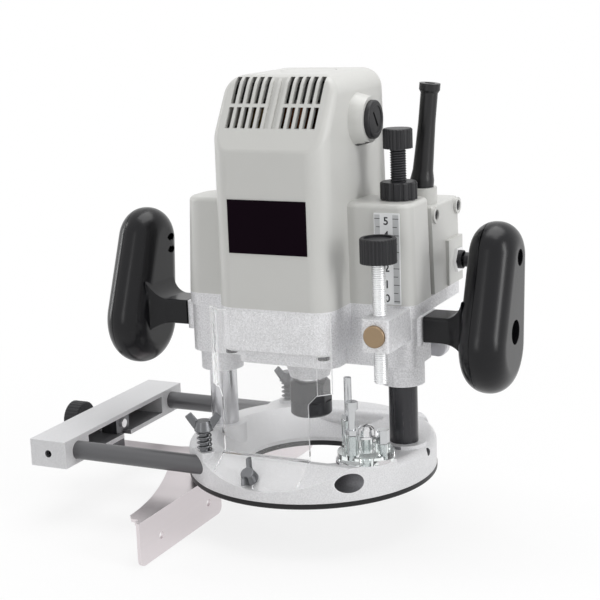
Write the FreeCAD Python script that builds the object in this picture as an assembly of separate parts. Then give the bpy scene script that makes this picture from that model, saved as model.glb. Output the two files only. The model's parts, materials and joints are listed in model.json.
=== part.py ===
import FreeCAD, Part
import math
import os

# A plunge router with its straight guide, in millimetres.
# The origin is the centre of the base's underside on the spindle axis.
# +Z is up, +X is the scale side, -Y is the front with the label plate.

# ---- Fits and gaps ----
running_gap = 0.05          # radial gap of a shaft or rod that turns or slides in its bore
body_gap = 0.3              # gap between flat faces of pieces that move past each other
hole_gap = 0.4              # radial gap of a clearance hole round a bolt or rod

beyond = 400.0              # reaches past every piece, for rooms and cuts

# ---- Body outline, shared by the bracket and the housing ----
body_half_width = 38.5
body_half_depth = 53.0
body_corner = 13.0

# ---- Base ----
base_radius = body_half_depth + 27.0    # room in front of the body for the chip guard
sub_base_thickness = 3.5
casting_radius = base_radius - 0.3
casting_top = 22.5
casting_edge_round = 5.0
opening_radius = 43.5       # the tool's way through the base
opening_lip_top = 6.0
funnel_top_radius = 62.0
sub_base_screw_circle = base_radius - 9.0
sub_base_screw_radius = 2.5
sub_base_screw_length = 12.0
facet_foot_height = 10.0    # the sloped front, where it meets the rim
facet_angle = 35.0

# ---- Columns ----
column_x = 63.4
column_radius = 9.0
column_bottom = 6.0
column_top = 130.0
column_boss_radius = 14.0
column_boss_top = 24.6
column_wall = 2.7           # the left column is a tube round the plunge spring
set_screw_radius = 2.5
set_screw_height = 18.5

# ---- Guide rods and their clamps ----
guide_rod_y = 60.0
guide_rod_z = 14.8
guide_rod_radius = 6.0
guide_rod_tip_x = 20.0
rod_boss_back = 52.4        # back face of the boss that holds the front rod
rod_boss_top = 24.0
clamp_bolt_x = -46.0
clamp_bolt_radius = 3.0
clamp_pad_top = 24.6
clamp_spring_top = 37.5

# ---- Guide holder, feed screw and fence ----
holder_inner_x = -141.0
holder_width = 27.0
holder_half_length = 74.0
holder_height = 18.0
holder_wall = 3.0
holder_end_block = 27.0
feed_screw_radius = 3.0
feed_knob_radius = 12.0
feed_knob_width = 11.0
feed_collar_width = 6.0
feed_travel = 6.0
fence_top = -3.0
sheet_thickness = 2.0
fence_face_x = -58.0
fence_half_length = 122.0
fence_notch_half = 21.0
fence_bottom = -31.0
fence_stem_half = 15.0
fence_stem_run = 50.0       # from the plate back to where the stem begins
fence_tip_width = 10.8
fence_tip_drop = 11.0
fence_hole_radius = 2.4
fence_hole_z = -19.0
fence_hole_inner_y = 38.0
fence_hole_outer_y = 97.0

# ---- Turret depth stop ----
turret_x = 53.9
turret_y = -38.5
turret_boss_radius = 18.5
turret_boss_top = 24.0
turret_flange_radius = 17.5
turret_flange_height = 4.7
turret_post_radius = 4.4
turret_post_web = 3.0
turret_bolt_circle = 13.0
turret_bolt_radius = 2.3
turret_bolt_depth = 2.0     # floor left in the turret under each stop bolt
turret_screw_radius = 3.0
turret_screw_depth = 12.0
turret_centre_radius = 7.0
turret_centre_top = 37.6
turret_washer_radius = 8.0
low_post_top = 36.0
low_bolt_top = 44.3
middle_post_top = 42.1
middle_bolt_top = 62.9
high_post_top = 46.3
high_bolt_top = 72.8
stop_bolt_hex = 7.0
stop_nut_height = 3.4
stop_bearing = -15.0        # the pole's bearing from the turret's centre

# ---- Chip guard ----
guard_y = -(body_half_depth + 4.0)      # middle of the clear sheet
guard_thickness = 1.6
guard_upper_x = -2.0
guard_upper_half = 33.0
guard_wing = 7.0            # the swept side strips reach this far out and back
guard_lower_x = -4.0
guard_lower_half = 29.0
guard_top = 115.0
guard_step = 60.0
guard_bolt_x = -7.0
guard_bolt_y = -(casting_radius - 5.7)
guard_foot_reach = casting_radius - 0.5     # how far out over the base's sloped front it lies
guard_foot_corner = 9.0
guard_bolt_radius = 2.5
guard_wing_turn = 100.0

# ---- Motor bracket ----
bracket_top = 115.5
bracket_floor = 88.0
bracket_wall = 4.0
flange_depth = 8.0
plate_half_width = 68.0     # the stepped plate under the bracket's floor
plate_front = -36.0
plate_front_half = 34.0      # its front part stays clear of the turret's bolts
plate_step_y = -18.0
plate_back = 20.0
ear_half_width = 79.5
ear_front = -21.0
ear_corner = 8.0
left_ear_half_width = 78.5
left_ear_corner = 13.0
ear_bottom = 76.8
main_ear_back = 16.0
sleeve_bottom = 62.5
sleeve_radius = 13.8
bush_radius = 11.5
bush_length = 12.0
bearing_collar_bottom = 61.8
bearing_collar_radius = 13.0
lower_bearing_radius = 17.5
lower_bearing_bore = 8.5
lower_bearing_bottom = 77.0
lower_bearing_height = 10.0
bracket_neck_radius = 22.0
bearing_ledge = 5.0

# ---- Motor ----
stator_radius = 43.0
stator_half_width = 34.6
stator_bore = 24.6
stator_bottom = 146.0
stator_height = 48.0
armature_radius = 24.0
shaft_radius = 6.0
nose_radius = 9.5
nose_bottom = 47.0
commutator_radius = 14.0
commutator_length = 18.0
winding_overhang = 8.0      # the windings stand this far out of the core's ends
commutator_gap = 14.0       # from the windings to the commutator
commutator_bottom = stator_bottom + stator_height + winding_overhang + commutator_gap
top_bearing_radius = 11.0
top_bearing_bore = 4.0
top_bearing_height = 7.0
top_bearing_bottom = commutator_bottom + commutator_length + 4.0
shaft_top = top_bearing_bottom + top_bearing_height + 1.0
fan_radius = 32.0
fan_bottom = 99.0
fan_height = 12.0
fan_blades = 11
brush_width = 6.0
brush_depth = 10.0
collet_nut_radius = 13.2
collet_nut_bottom = 36.3
collet_nut_top = 59.5
collet_bore = 6.0           # takes 12 mm cutter shanks
collet_length = 24.0

# ---- Motor housing ----
housing_wall = 3.0
slope_bottom = 211.0
slope_angle = 58.0
housing_top = top_bearing_bottom + top_bearing_height + 8.8
housing_top_half_width = 37.8
crown_round = 12.5
flank_round = 5.5
back_draft = 4.0
housing_screw_x = 31.0
housing_screw_y = 46.0
ear_top = 177.0
ear_top_round = 3.0
ear_draft = 1.6
left_ear_draft = 3.0
cap_height = commutator_bottom + commutator_length / 2     # the brushes' height
cap_radius = 11.75
cap_face_x = 50.0
cap_boss_radius = 14.5
cap_boss_x = 46.5
cap_boss_length = 14.0
cap_thread_radius = 9.0
cap_slot_turn = 35.0
slot_count = 12
slot_pitch = 5.1
slot_width = 3.2
slot_low = slope_bottom + 12.5
slot_bar_low = slot_low + 12.0
slot_bar_high = slot_bar_low + 1.8
slot_high = housing_top - 1.3
blind_slot_depth = 1.6

# ---- Switch cover ----
cover_back = 67.0
cover_inner_x = 44.0
cover_top = 170.0
cover_seat_x = 77.0         # the cover screws' heads sit in deep holes
cover_wall = 2.8
cover_gap = 0.2
cover_screw_y = [21.6, 60.8]
cover_screw_z = 164.4
cover_boss_radius = 5.3
switch_y = 53.0
switch_z = 131.0
switch_plate_half = 14.5
switch_plate_step = 1.6
toggle_reach = 12.0
toggle_pin_radius = 1.2     # the pin that the lever rocks on
toggle_pocket_radius = 4.0
toggle_pin_reach = toggle_pocket_radius - 0.4
toggle_mouth_radius = 5.1   # flared, so the lever swings 12 degrees each way
guard_socket_x = 66.0
guard_socket_y = 32.0
guard_socket_top = 180.0

# ---- Label and scale plates ----
label_half_width = 26.0
label_bottom = 149.5
label_top = 182.0
plate_thickness = 0.8
scale_x = 63.8
scale_half_width = 8.2
scale_bottom = 116.4
scale_top = 171.8

# ---- Plunge travel, height rod and nut ----
height_rod_radius = 4.9
height_rod_bottom = 104.0
height_rod_top = 214.0
rod_cap_bottom = 208.0
rod_cap_top = 220.0
rod_cap_radius = 9.0
nylon_nut_top = 188.0
nylon_nut_radius = 11.25
spring_floor = 20.0
spring_coil_radius = 5.0
spring_wire_radius = 0.7
spring_pitch = 6.0

# ---- Stop pole ----
pole_radius = 4.3
pole_bottom = 73.5
pole_top = 150.0
pole_knob_bottom = 146.0
pole_knob_top = 161.0
pole_knob_radius = 11.0
clamp_front_y = -54.0
clamp_left_x = 59.4
clamp_right_x = 76.6
clamp_bottom = 94.6
clamp_top = 114.4
button_x = 67.9
button_radius = 6.7
button_travel = 1.6
button_depth = 5.0
button_stand_out = 2.2

# ---- Handles ----
handle_x = 122.0
handle_y = 2.3
handle_z = 113.1
handle_half_height = 51.7
handle_foot_radius = 30.0   # the wide lower end
handle_head_radius = 22.0   # the narrow upper end
handle_thickness = 29.0
handle_round = 14.0
handle_tilt = 13.0          # the head leans back
handle_wall = 3.0
handle_seam = 4.8           # both handles part this far to the left of their middle
arm_half_width = 12.0
arm_bottom = 91.5
arm_top = 107.5
arm_start_x = 82.0
arm_flare = 14.0
arm_flare_rise = 12.0
arm_flare_spread = 6.0
tang_half_width = 8.0
tang_height = 9.0
tang_end_x = 101.0
handle_screw_reach = [-13.9, 30.7]      # along the leaning handle from its middle
handle_hole_radius = [7.4, 5.0]         # the wells over the two screws' heads
handle_hole_depth = 12.0
crescent_y = 16.5           # two moulded slots in the left handle's inner face
crescent_z = 139.5
crescent_outer = 6.6
crescent_inner = 2.3
crescent_angle = 50.0       # each way from straight up or down
case_screw_radius = 1.8
case_screw_head = 3.2
case_screw_length = 16.0

# ---- Lock lever ----
lock_z = 80.0
lock_bolt_radius = 4.0
lock_boss_end = 22.0
lock_hub_radius = 7.2
lock_hub_length = 8.0
lock_lever_length = 14.5
lock_lever_thickness = 6.0
lock_lever_tip = 6.2


# ---- Short names for the usual shapes ----
def vec(x, y, z):
    return FreeCAD.Vector(x, y, z)


def block(x0, x1, y0, y1, z0, z1):
    return Part.makeBox(x1 - x0, y1 - y0, z1 - z0, vec(x0, y0, z0))


def post(x, y, radius, z0, z1):
    return Part.makeCylinder(radius, z1 - z0, vec(x, y, z0))


def bar(radius, start, end):
    along = end.sub(start)
    return Part.makeCylinder(radius, along.Length, start, along)


def ring(x, y, outer, inner, z0, z1):
    return post(x, y, outer, z0, z1).cut(post(x, y, inner, z0 - 1, z1 + 1))


def fuse(first, *others):
    return first.fuse(list(others)).removeSplitter()


def near(a, b):
    return abs(a - b) < 0.01


def round_edges(shape, radius, wanted):
    edges = [e for e in shape.Edges if wanted(e)]
    return shape.makeFillet(radius, edges)


def bevel_edges(shape, size, wanted):
    edges = [e for e in shape.Edges if wanted(e)]
    return shape.makeChamfer(size, edges)


def upright(edge):
    box = edge.BoundBox
    return box.XLength < 0.01 and box.YLength < 0.01 and box.ZLength > 0.1


def level_at(height):
    return lambda e: near(e.BoundBox.ZMin, height) and near(e.BoundBox.ZMax, height)


def at_x(place):
    return lambda e: near(e.BoundBox.XMin, place) and near(e.BoundBox.XMax, place)


def slab(x0, x1, y0, y1, z0, z1, corner):
    return round_edges(block(x0, x1, y0, y1, z0, z1), corner, upright)


def prism(points, along):
    wire = Part.makePolygon(points + [points[0]])
    return Part.Face(wire).extrude(along)


def hexagon(x, y, across_flats, z0, z1):
    corner = across_flats / math.sqrt(3)
    points = []
    for step in range(6):
        angle = math.radians(60 * step + 30)
        points.append(vec(x + corner * math.cos(angle), y + corner * math.sin(angle), z0))
    return prism(points, vec(0, 0, z1 - z0))


def turned(points):
    """A solid of revolution about Z from (radius, height) points."""
    outline = [vec(r, 0, z) for r, z in points]
    wire = Part.makePolygon(outline + [outline[0]])
    return Part.Face(wire).revolve(vec(0, 0, 0), vec(0, 0, 1), 360)


def moved(shape, x, y, z):
    copy = shape.copy()
    copy.translate(vec(x, y, z))
    return copy


def spun(shape, centre, axis, degrees):
    copy = shape.copy()
    copy.rotate(centre, axis, degrees)
    return copy


def mirror_x(shape):
    return shape.mirror(vec(0, 0, 0), vec(1, 0, 0))


def mirror_y(shape):
    return shape.mirror(vec(0, 0, 0), vec(0, 1, 0))


def coil(x, y, radius, wire, z0, z1, pitch):
    path = Part.makeHelix(pitch, z1 - z0 - 2 * wire, radius)
    section = Part.Wire([Part.makeCircle(wire, vec(radius, 0, 0), vec(0, 1, 0))])
    tube = Part.Wire(path).makePipeShell([section], True, True)
    return moved(tube, x, y, z0 + wire)


def scallops(body, x, y, radius, count, cutter, z0, z1):
    cutters = []
    for step in range(count):
        angle = 2 * math.pi * step / count
        cutters.append(post(x + radius * math.cos(angle), y + radius * math.sin(angle),
                            cutter, z0 - 1, z1 + 1))
    return body.cut(cutters)


def save(node, *pieces):
    solids = [s for piece in pieces for s in piece.Solids]
    shape = solids[0] if len(solids) == 1 else Part.makeCompound(solids)
    shape.exportStep("parts/" + node + ".step")
    return shape


# ---- Places worked out from the sizes above ----
def facet_height(y):
    """Height of the base's sloped front at a given y."""
    return facet_foot_height + (y + casting_radius) * math.tan(math.radians(facet_angle))


facet_back = -casting_radius + (rod_boss_top - facet_foot_height) / math.tan(math.radians(facet_angle))
facet_out = vec(0, -math.sin(math.radians(facet_angle)), math.cos(math.radians(facet_angle)))
facet_down = vec(0, -math.cos(math.radians(facet_angle)), -math.sin(math.radians(facet_angle)))
holder_outer_x = holder_inner_x - holder_width
holder_bottom = guide_rod_z - holder_height / 2
holder_top = guide_rod_z + holder_height / 2
turret_floor = turret_boss_top + body_gap
flange_top = turret_floor + turret_flange_height
spring_top = ear_top - housing_wall - body_gap


def turret_spot(turn):
    """Place on the turret's bolt circle, a quarter turn clockwise for each step."""
    angle = math.radians(stop_bearing - 90 * turn)
    return (turret_x + turret_bolt_circle * math.cos(angle),
            turret_y + turret_bolt_circle * math.sin(angle))


pole_x, pole_y = turret_spot(0)
stop_bolts = [("low", 0, low_post_top, low_bolt_top), ("middle", 1, middle_post_top, middle_bolt_top),
              ("high", 2, high_post_top, high_bolt_top)]


# ---- Base ----
def sub_base_screw_places():
    places = []
    for angle in (45, 135, 225, 315):
        turn = math.radians(angle)
        places.append((sub_base_screw_circle * math.cos(turn), sub_base_screw_circle * math.sin(turn)))
    return places


def sub_base_screw(x, y):
    head = moved(turned([(0, 0.5), (4.6, 0.5), (sub_base_screw_radius, 2.6), (0, 2.6)]), x, y, 0)
    return fuse(head, post(x, y, sub_base_screw_radius, 2.6, sub_base_screw_length))


def make_sub_base():
    plate = ring(0, 0, base_radius, opening_radius, 0, sub_base_thickness)
    plate = bevel_edges(plate, 0.8, lambda e: level_at(0)(e) and e.BoundBox.XLength > 2 * opening_radius + 1)
    holes = []
    for x, y in sub_base_screw_places():
        holes.append(post(x, y, 4.6, -1, 0.5))
        holes.append(sub_base_screw(x, y))
    save("sub_base_plate", plate.cut(holes))
    save("sub_base_screws", *[sub_base_screw(x, y) for x, y in sub_base_screw_places()])


def casting_cylinder(top):
    return post(0, 0, casting_radius, sub_base_thickness, top)


def make_base_casting():
    rim = round_edges(casting_cylinder(casting_top), casting_edge_round, level_at(casting_top))
    funnel = turned([(0, opening_lip_top), (opening_radius, opening_lip_top),
                     (funnel_top_radius, casting_top), (funnel_top_radius, casting_top + 5),
                     (0, casting_top + 5)])
    rim = rim.cut(funnel)
    front = block(-casting_radius, casting_radius, -casting_radius, -rod_boss_back,
                  sub_base_thickness, rod_boss_top)
    front = round_edges(front, 4.0, lambda e: near(e.BoundBox.YMin, -rod_boss_back)
                        and level_at(rod_boss_top)(e))
    front = front.common(casting_cylinder(rod_boss_top))
    rear = bar(guide_rod_radius + 3, vec(-casting_radius, guide_rod_y, guide_rod_z),
               vec(casting_radius, guide_rod_y, guide_rod_z))
    rear = rear.common(casting_cylinder(rod_boss_top))
    turret_boss = post(turret_x, turret_y, turret_boss_radius, sub_base_thickness, turret_boss_top)
    turret_boss = turret_boss.common(casting_cylinder(turret_boss_top))
    bosses = [front, rear, turret_boss]
    for side in (-1, 1):
        bosses.append(post(side * column_x, 0, column_boss_radius, sub_base_thickness, column_boss_top))
        bosses.append(post(clamp_bolt_x, side * guide_rod_y, 6.5, guide_rod_z, clamp_pad_top)
                      .common(casting_cylinder(clamp_pad_top)))
    casting = fuse(rim, *bosses)
    cuts = [post(0, 0, opening_radius, 0, rod_boss_top + 5)]
    lift = 40.0
    run = lift / math.tan(math.radians(facet_angle))
    facet = prism([vec(-casting_radius, -casting_radius - run, facet_foot_height - lift),
                   vec(-casting_radius, facet_back, rod_boss_top), vec(-casting_radius, facet_back, rod_boss_top + 20),
                   vec(-casting_radius, -casting_radius - run, rod_boss_top + 20)], vec(2 * casting_radius, 0, 0))
    pad_keep = post(clamp_bolt_x, -guide_rod_y, 6.5, guide_rod_z, clamp_pad_top)
    cuts.append(facet.cut(pad_keep))
    for side in (-1, 1):
        cuts.append(bar(guide_rod_radius + running_gap, vec(-casting_radius - 5, side * guide_rod_y, guide_rod_z),
                        vec(casting_radius + 5, side * guide_rod_y, guide_rod_z)))
        cuts.append(post(side * column_x, 0, column_radius, column_bottom, column_boss_top + 1))
        cuts.append(bar(set_screw_radius, vec(side * (column_x + column_radius - 1), 0, set_screw_height),
                        vec(side * (casting_radius + 3), 0, set_screw_height)))
        cuts.append(post(clamp_bolt_x, side * guide_rod_y, clamp_bolt_radius + running_gap,
                         guide_rod_z, clamp_pad_top + 1))
    cuts.append(post(turret_x, turret_y, turret_screw_radius, turret_boss_top - turret_screw_depth,
                     turret_boss_top + 1))
    foot = guard_bolt_seat()
    cuts.append(bar(guard_bolt_radius + running_gap, foot.sub(facet_out * 6), foot.add(facet_out * 6)))
    for x, y in sub_base_screw_places():
        cuts.append(post(x, y, sub_base_screw_radius, 0, sub_base_screw_length))
    save("base_casting", casting.cut(cuts))


def make_columns():
    left = post(-column_x, 0, column_radius, column_bottom, column_top)
    left = bevel_edges(left, 1.0, level_at(column_top))
    left = left.cut(post(-column_x, 0, column_radius - column_wall, spring_floor, column_top + 1))
    save("left_column", left)
    right = post(column_x, 0, column_radius, column_bottom, column_top)
    right = bevel_edges(right, 1.0, level_at(column_top))
    right = right.cut(post(column_x, 0, height_rod_radius, height_rod_bottom, column_top + 1))
    save("right_column", right)
    screws = []
    for side in (-1, 1):
        inner = column_x + column_radius
        screw = bar(set_screw_radius, vec(side * inner, 0, set_screw_height),
                    vec(side * (inner + 5), 0, set_screw_height))
        socket = bar(1.2, vec(side * (inner + 3), 0, set_screw_height),
                     vec(side * (inner + 6), 0, set_screw_height))
        screws.append(screw.cut(socket))
    save("column_set_screws", *screws)


def make_height_rod():
    rod = post(column_x, 0, height_rod_radius, height_rod_bottom, height_rod_top)
    save("height_rod", rod)
    cap = post(column_x, 0, rod_cap_radius, rod_cap_bottom, rod_cap_top)
    cap = bevel_edges(cap, 0.8, level_at(rod_cap_top))
    cap = scallops(cap, column_x, 0, rod_cap_radius + 0.5, 24, 0.9, rod_cap_bottom, rod_cap_top)
    save("height_rod_cap", cap.cut(post(column_x, 0, height_rod_radius, rod_cap_bottom - 1, height_rod_top)))
    nut = post(column_x, 0, nylon_nut_radius, ear_top + body_gap, nylon_nut_top)
    nut = bevel_edges(nut, 0.8, level_at(nylon_nut_top))
    nut = scallops(nut, column_x, 0, nylon_nut_radius + 0.8, 12, 1.8, ear_top, nylon_nut_top)
    save("nylon_nut", nut.cut(post(column_x, 0, height_rod_radius + running_gap, ear_top - 1, nylon_nut_top + 1)))


def make_plunge_spring():
    spring = coil(-column_x, 0, spring_coil_radius, spring_wire_radius, spring_floor, spring_top, spring_pitch)
    save("plunge_spring", spring)


# ---- Wing bolts ----
def wing_bolt(shank_radius, shank_length, wing_lift):
    """A wing bolt with its shank down from z = 0 and its wings above."""
    shank = post(0, 0, shank_radius, -shank_length, 0.5)
    hub = turned([(0, 0), (shank_radius + 3.0, 0), (shank_radius + 1.6, 6.5), (0, 6.5)])
    pieces = [shank, hub]
    for side in (-1, 1):
        wing = prism([vec(side * (shank_radius + 0.2), -1.1, 1.0), vec(side * (shank_radius + 3.2), -1.1, 1.2),
                      vec(side * (shank_radius + 8.4), -1.1, wing_lift),
                      vec(side * (shank_radius + 4.8), -1.1, wing_lift + 2.6),
                      vec(side * (shank_radius + 0.2), -1.1, 6.0)], vec(0, 2.2, 0))
        pieces.append(wing)
    return fuse(*pieces)


def make_clamp_bolts():
    for name, side, turn in (("front", -1, 20), ("rear", 1, 65)):
        tip = guide_rod_z + guide_rod_radius + body_gap
        bolt = wing_bolt(clamp_bolt_radius, clamp_spring_top + body_gap - tip, 9.0)
        bolt = spun(bolt, vec(0, 0, 0), vec(0, 0, 1), turn)
        save(name + "_clamp_bolt", moved(bolt, clamp_bolt_x, side * guide_rod_y, clamp_spring_top + body_gap))
    springs = []
    for side in (-1, 1):
        springs.append(coil(clamp_bolt_x, side * guide_rod_y, clamp_bolt_radius + 1.2, 0.6,
                            clamp_pad_top, clamp_spring_top, 3.0))
    save("clamp_springs", *springs)


# ---- Chip guard ----
def guard_bolt_seat():
    return vec(guard_bolt_x, guard_bolt_y, facet_height(guard_bolt_y))


def make_chip_guard():
    half = guard_thickness / 2
    front_y = guard_y - half
    back_y = guard_y + half
    left = guard_upper_x - guard_upper_half
    right = guard_upper_x + guard_upper_half
    plan = [vec(left - guard_wing - half, front_y + guard_wing, guard_step),
            vec(left - half, front_y, guard_step), vec(right + half, front_y, guard_step),
            vec(right + guard_wing + half, front_y + guard_wing, guard_step),
            vec(right + guard_wing - half, back_y + guard_wing, guard_step),
            vec(right, back_y, guard_step), vec(left, back_y, guard_step),
            vec(left - guard_wing + half, back_y + guard_wing, guard_step)]
    upper = prism(plan, vec(0, 0, guard_top - guard_step))
    low_left = guard_lower_x - guard_lower_half
    low_right = guard_lower_x + guard_lower_half
    bend_z = rod_boss_top + 0.05
    lower = block(low_left, low_right, front_y, back_y, bend_z, guard_step + 6)
    neck = prism([vec(low_left, front_y, guard_step), vec(low_right, front_y, guard_step),
                  vec(right, front_y, guard_step + 6), vec(left, front_y, guard_step + 6)],
                 vec(0, guard_thickness, 0))
    low_cut = [prism([vec(a, front_y - 1, guard_step - 0.1), vec(b, front_y - 1, guard_step - 0.1),
                      vec(b, front_y - 1, guard_step + 6)], vec(0, guard_thickness + 2, 0))
               for a, b in ((low_left, left), (low_right, right))]
    wing_cut = [block(left - guard_wing - 3, left, front_y - 1, back_y + guard_wing + 1, guard_step - 1,
                      guard_step + 6),
                block(right, right + guard_wing + 3, front_y - 1, back_y + guard_wing + 1, guard_step - 1,
                      guard_step + 6)]
    upper = upper.cut(low_cut + wing_cut)
    crown = block(low_left, low_right, facet_back, back_y, bend_z, bend_z + guard_thickness)
    start = vec(low_left, facet_back, bend_z)
    length = (facet_back + guard_foot_reach) / math.cos(math.radians(facet_angle))
    foot = prism([start, start.add(facet_down * length),
                  start.add(facet_down * length).add(facet_out * guard_thickness),
                  start.add(facet_out * guard_thickness)], vec(low_right - low_left, 0, 0))
    foot = round_edges(foot, guard_foot_corner, lambda e: e.BoundBox.XLength < 0.01 and near(
        e.Length, guard_thickness) and e.BoundBox.YMin < facet_back - length / 2)
    foot = foot.common(post(0, 0, casting_radius - 0.6, 0, guard_step))
    join = prism([vec(low_left, facet_back, bend_z), vec(low_left, facet_back, bend_z + guard_thickness),
                  start.add(facet_out * guard_thickness)], vec(low_right - low_left, 0, 0))
    guard = fuse(upper, lower, crown, foot, join)
    seat = guard_bolt_seat()
    slot = bar(guard_bolt_radius + hole_gap, seat.sub(facet_out * 3), seat.add(facet_out * 6))
    mouth = slot.fuse(moved(slot, 0, facet_down.y * 12, facet_down.z * 12))
    side = (guard_bolt_radius + hole_gap)
    corner = seat.sub(facet_out * 3).add(vec(-side, 0, 0))
    gap = prism([corner, corner.add(vec(2 * side, 0, 0)),
                 corner.add(vec(2 * side, 0, 0)).add(facet_down * 12), corner.add(facet_down * 12)],
                facet_out * 9)
    guard = guard.cut([mouth, gap])
    save("chip_guard", guard)
    bolt = wing_bolt(guard_bolt_radius, 6.0 + guard_thickness, 8.0)
    bolt = spun(bolt, vec(0, 0, 0), vec(0, 0, 1), guard_wing_turn)
    bolt = spun(bolt, vec(0, 0, 0), vec(1, 0, 0), facet_angle)
    lift = seat.add(facet_out * (guard_thickness + body_gap))
    save("guard_wing_bolt", moved(bolt, lift.x, lift.y, lift.z))


# ---- Turret depth stop ----
def make_turret():
    pieces = [post(turret_x, turret_y, turret_flange_radius, turret_floor, flange_top),
              post(turret_x, turret_y, turret_centre_radius, flange_top - 1, turret_centre_top)]
    holes = [post(turret_x, turret_y, turret_screw_radius + running_gap, turret_floor - 1, turret_centre_top + 1)]
    bolts = []
    nuts = []
    bolt_floor = turret_floor + turret_bolt_depth
    for name, turn, post_top, bolt_top in stop_bolts:
        x, y = turret_spot(turn)
        pieces.append(post(x, y, turret_post_radius, flange_top - 1, post_top))
        web = block(0, turret_bolt_circle, -turret_post_web / 2, turret_post_web / 2, flange_top - 1,
                    min(post_top, turret_centre_top) - 1)
        web = spun(web, vec(0, 0, 0), vec(0, 0, 1), stop_bearing - 90 * turn)
        pieces.append(moved(web, turret_x, turret_y, 0))
        holes.append(post(x, y, turret_bolt_radius, bolt_floor, post_top + 1))
        stud = post(x, y, turret_bolt_radius, bolt_floor, bolt_top)
        if name == "low":
            stud = fuse(stud, hexagon(x, y, stop_bolt_hex, post_top, bolt_top))
        if name == "middle":
            stud = fuse(stud, hexagon(x, y, stop_bolt_hex, bolt_top - 5.0, bolt_top))
        if name != "low":
            nut = hexagon(x, y, stop_bolt_hex, post_top, post_top + stop_nut_height)
            nuts.append(nut.cut(post(x, y, turret_bolt_radius, post_top - 1, bolt_top)))
        bolts.append(stud)
    save("turret_block", fuse(*pieces).cut(holes))
    save("stop_bolts", *(bolts + nuts))
    washer_foot = turret_centre_top + body_gap
    washer_top = washer_foot + 1.2
    screw = post(turret_x, turret_y, turret_screw_radius, turret_boss_top - turret_screw_depth, washer_top)
    washer = post(turret_x, turret_y, turret_washer_radius, washer_foot, washer_top)
    head = moved(turned([(0, 0), (5.6, 0), (5.2, 3.6), (3.6, 5.4), (0, 6.0)]), turret_x, turret_y, washer_top)
    top = washer_top + 6.0
    head = head.cut([block(turret_x - 3.6, turret_x + 3.6, turret_y - 0.6, turret_y + 0.6, top - 2.4, top + 1),
                     block(turret_x - 0.6, turret_x + 0.6, turret_y - 3.6, turret_y + 3.6, top - 2.4, top + 1)])
    save("turret_screw", fuse(screw, washer, head))


# ---- Straight guide ----
def make_guide():
    rods = []
    for side in (-1, 1):
        rod = bar(guide_rod_radius, vec(holder_outer_x + holder_wall, side * guide_rod_y, guide_rod_z),
                  vec(guide_rod_tip_x, side * guide_rod_y, guide_rod_z))
        rods.append(bevel_edges(rod, 1.0, at_x(guide_rod_tip_x)))
    save("guide_rods", *rods)
    holder = block(holder_outer_x, holder_inner_x, -holder_half_length, holder_half_length,
                   holder_bottom, holder_top)
    channel_half = holder_half_length - holder_end_block
    channel = block(holder_outer_x + holder_wall, holder_inner_x + 1, -channel_half, channel_half,
                    holder_bottom + holder_wall, holder_top - holder_wall)
    cuts = [channel]
    for side in (-1, 1):
        cuts.append(bar(guide_rod_radius, vec(holder_outer_x + holder_wall, side * guide_rod_y, guide_rod_z),
                        vec(holder_inner_x + 1, side * guide_rod_y, guide_rod_z)))
        cuts.append(bar(set_screw_radius, vec(clamp_line_x, side * (guide_rod_y + guide_rod_radius - 1), guide_rod_z),
                        vec(clamp_line_x, side * (holder_half_length + 1), guide_rod_z)))
    cuts.append(bar(feed_screw_radius + running_gap, vec(holder_outer_x - 1, 0, guide_rod_z),
                    vec(holder_outer_x + holder_wall + 1, 0, guide_rod_z)))
    cuts.append(block(bracket_x - neck_half - feed_travel - 1, bracket_x + neck_half + feed_travel + 1,
                      -neck_half - body_gap, neck_half + body_gap, holder_bottom - 1,
                      holder_bottom + holder_wall + 1))
    holder = holder.cut(cuts)
    save("guide_holder", holder)
    screws = []
    for side in (-1, 1):
        inner = guide_rod_y + guide_rod_radius
        screw = bar(set_screw_radius, vec(clamp_line_x, side * inner, guide_rod_z),
                    vec(clamp_line_x, side * (inner + 6), guide_rod_z))
        socket = bar(1.2, vec(clamp_line_x, side * (inner + 4), guide_rod_z),
                     vec(clamp_line_x, side * (inner + 7), guide_rod_z))
        screws.append(screw.cut(socket))
    save("guide_set_screws", *screws)


clamp_line_x = holder_inner_x - holder_width / 2
neck_half = 4.0
bracket_half = 8.0
bracket_half_length = 6.0
bracket_x = holder_inner_x - 9.5


def make_feed_screw():
    axis = guide_rod_z
    outer = holder_outer_x - feed_collar_width - body_gap
    screw = bar(feed_screw_radius, vec(outer - feed_knob_width + 2, 0, axis), vec(holder_inner_x - 2.0, 0, axis))
    collar = bar(feed_screw_radius + 2.5, vec(outer, 0, axis), vec(holder_outer_x - body_gap, 0, axis))
    clip = bar(feed_screw_radius + 2.0, vec(holder_outer_x + holder_wall + body_gap, 0, axis),
               vec(holder_outer_x + holder_wall + body_gap + 1.5, 0, axis))
    save("feed_screw", fuse(screw, collar, clip))
    knob = bar(feed_knob_radius, vec(outer - feed_knob_width, 0, axis), vec(outer, 0, axis))
    knob = bevel_edges(knob, 0.8, lambda e: near(e.BoundBox.YLength, 2 * feed_knob_radius)
                       and e.BoundBox.XLength < 0.01)
    grips = []
    for step in range(28):
        angle = 2 * math.pi * step / 28
        reach = feed_knob_radius + 0.5
        grips.append(bar(0.9, vec(outer - feed_knob_width - 1, reach * math.cos(angle), axis + reach * math.sin(angle)),
                         vec(outer + 1, reach * math.cos(angle), axis + reach * math.sin(angle))))
    grips.append(bar(feed_screw_radius, vec(outer - feed_knob_width + 2, 0, axis), vec(outer + 1, 0, axis)))
    save("feed_knob", knob.cut(grips))


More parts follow.
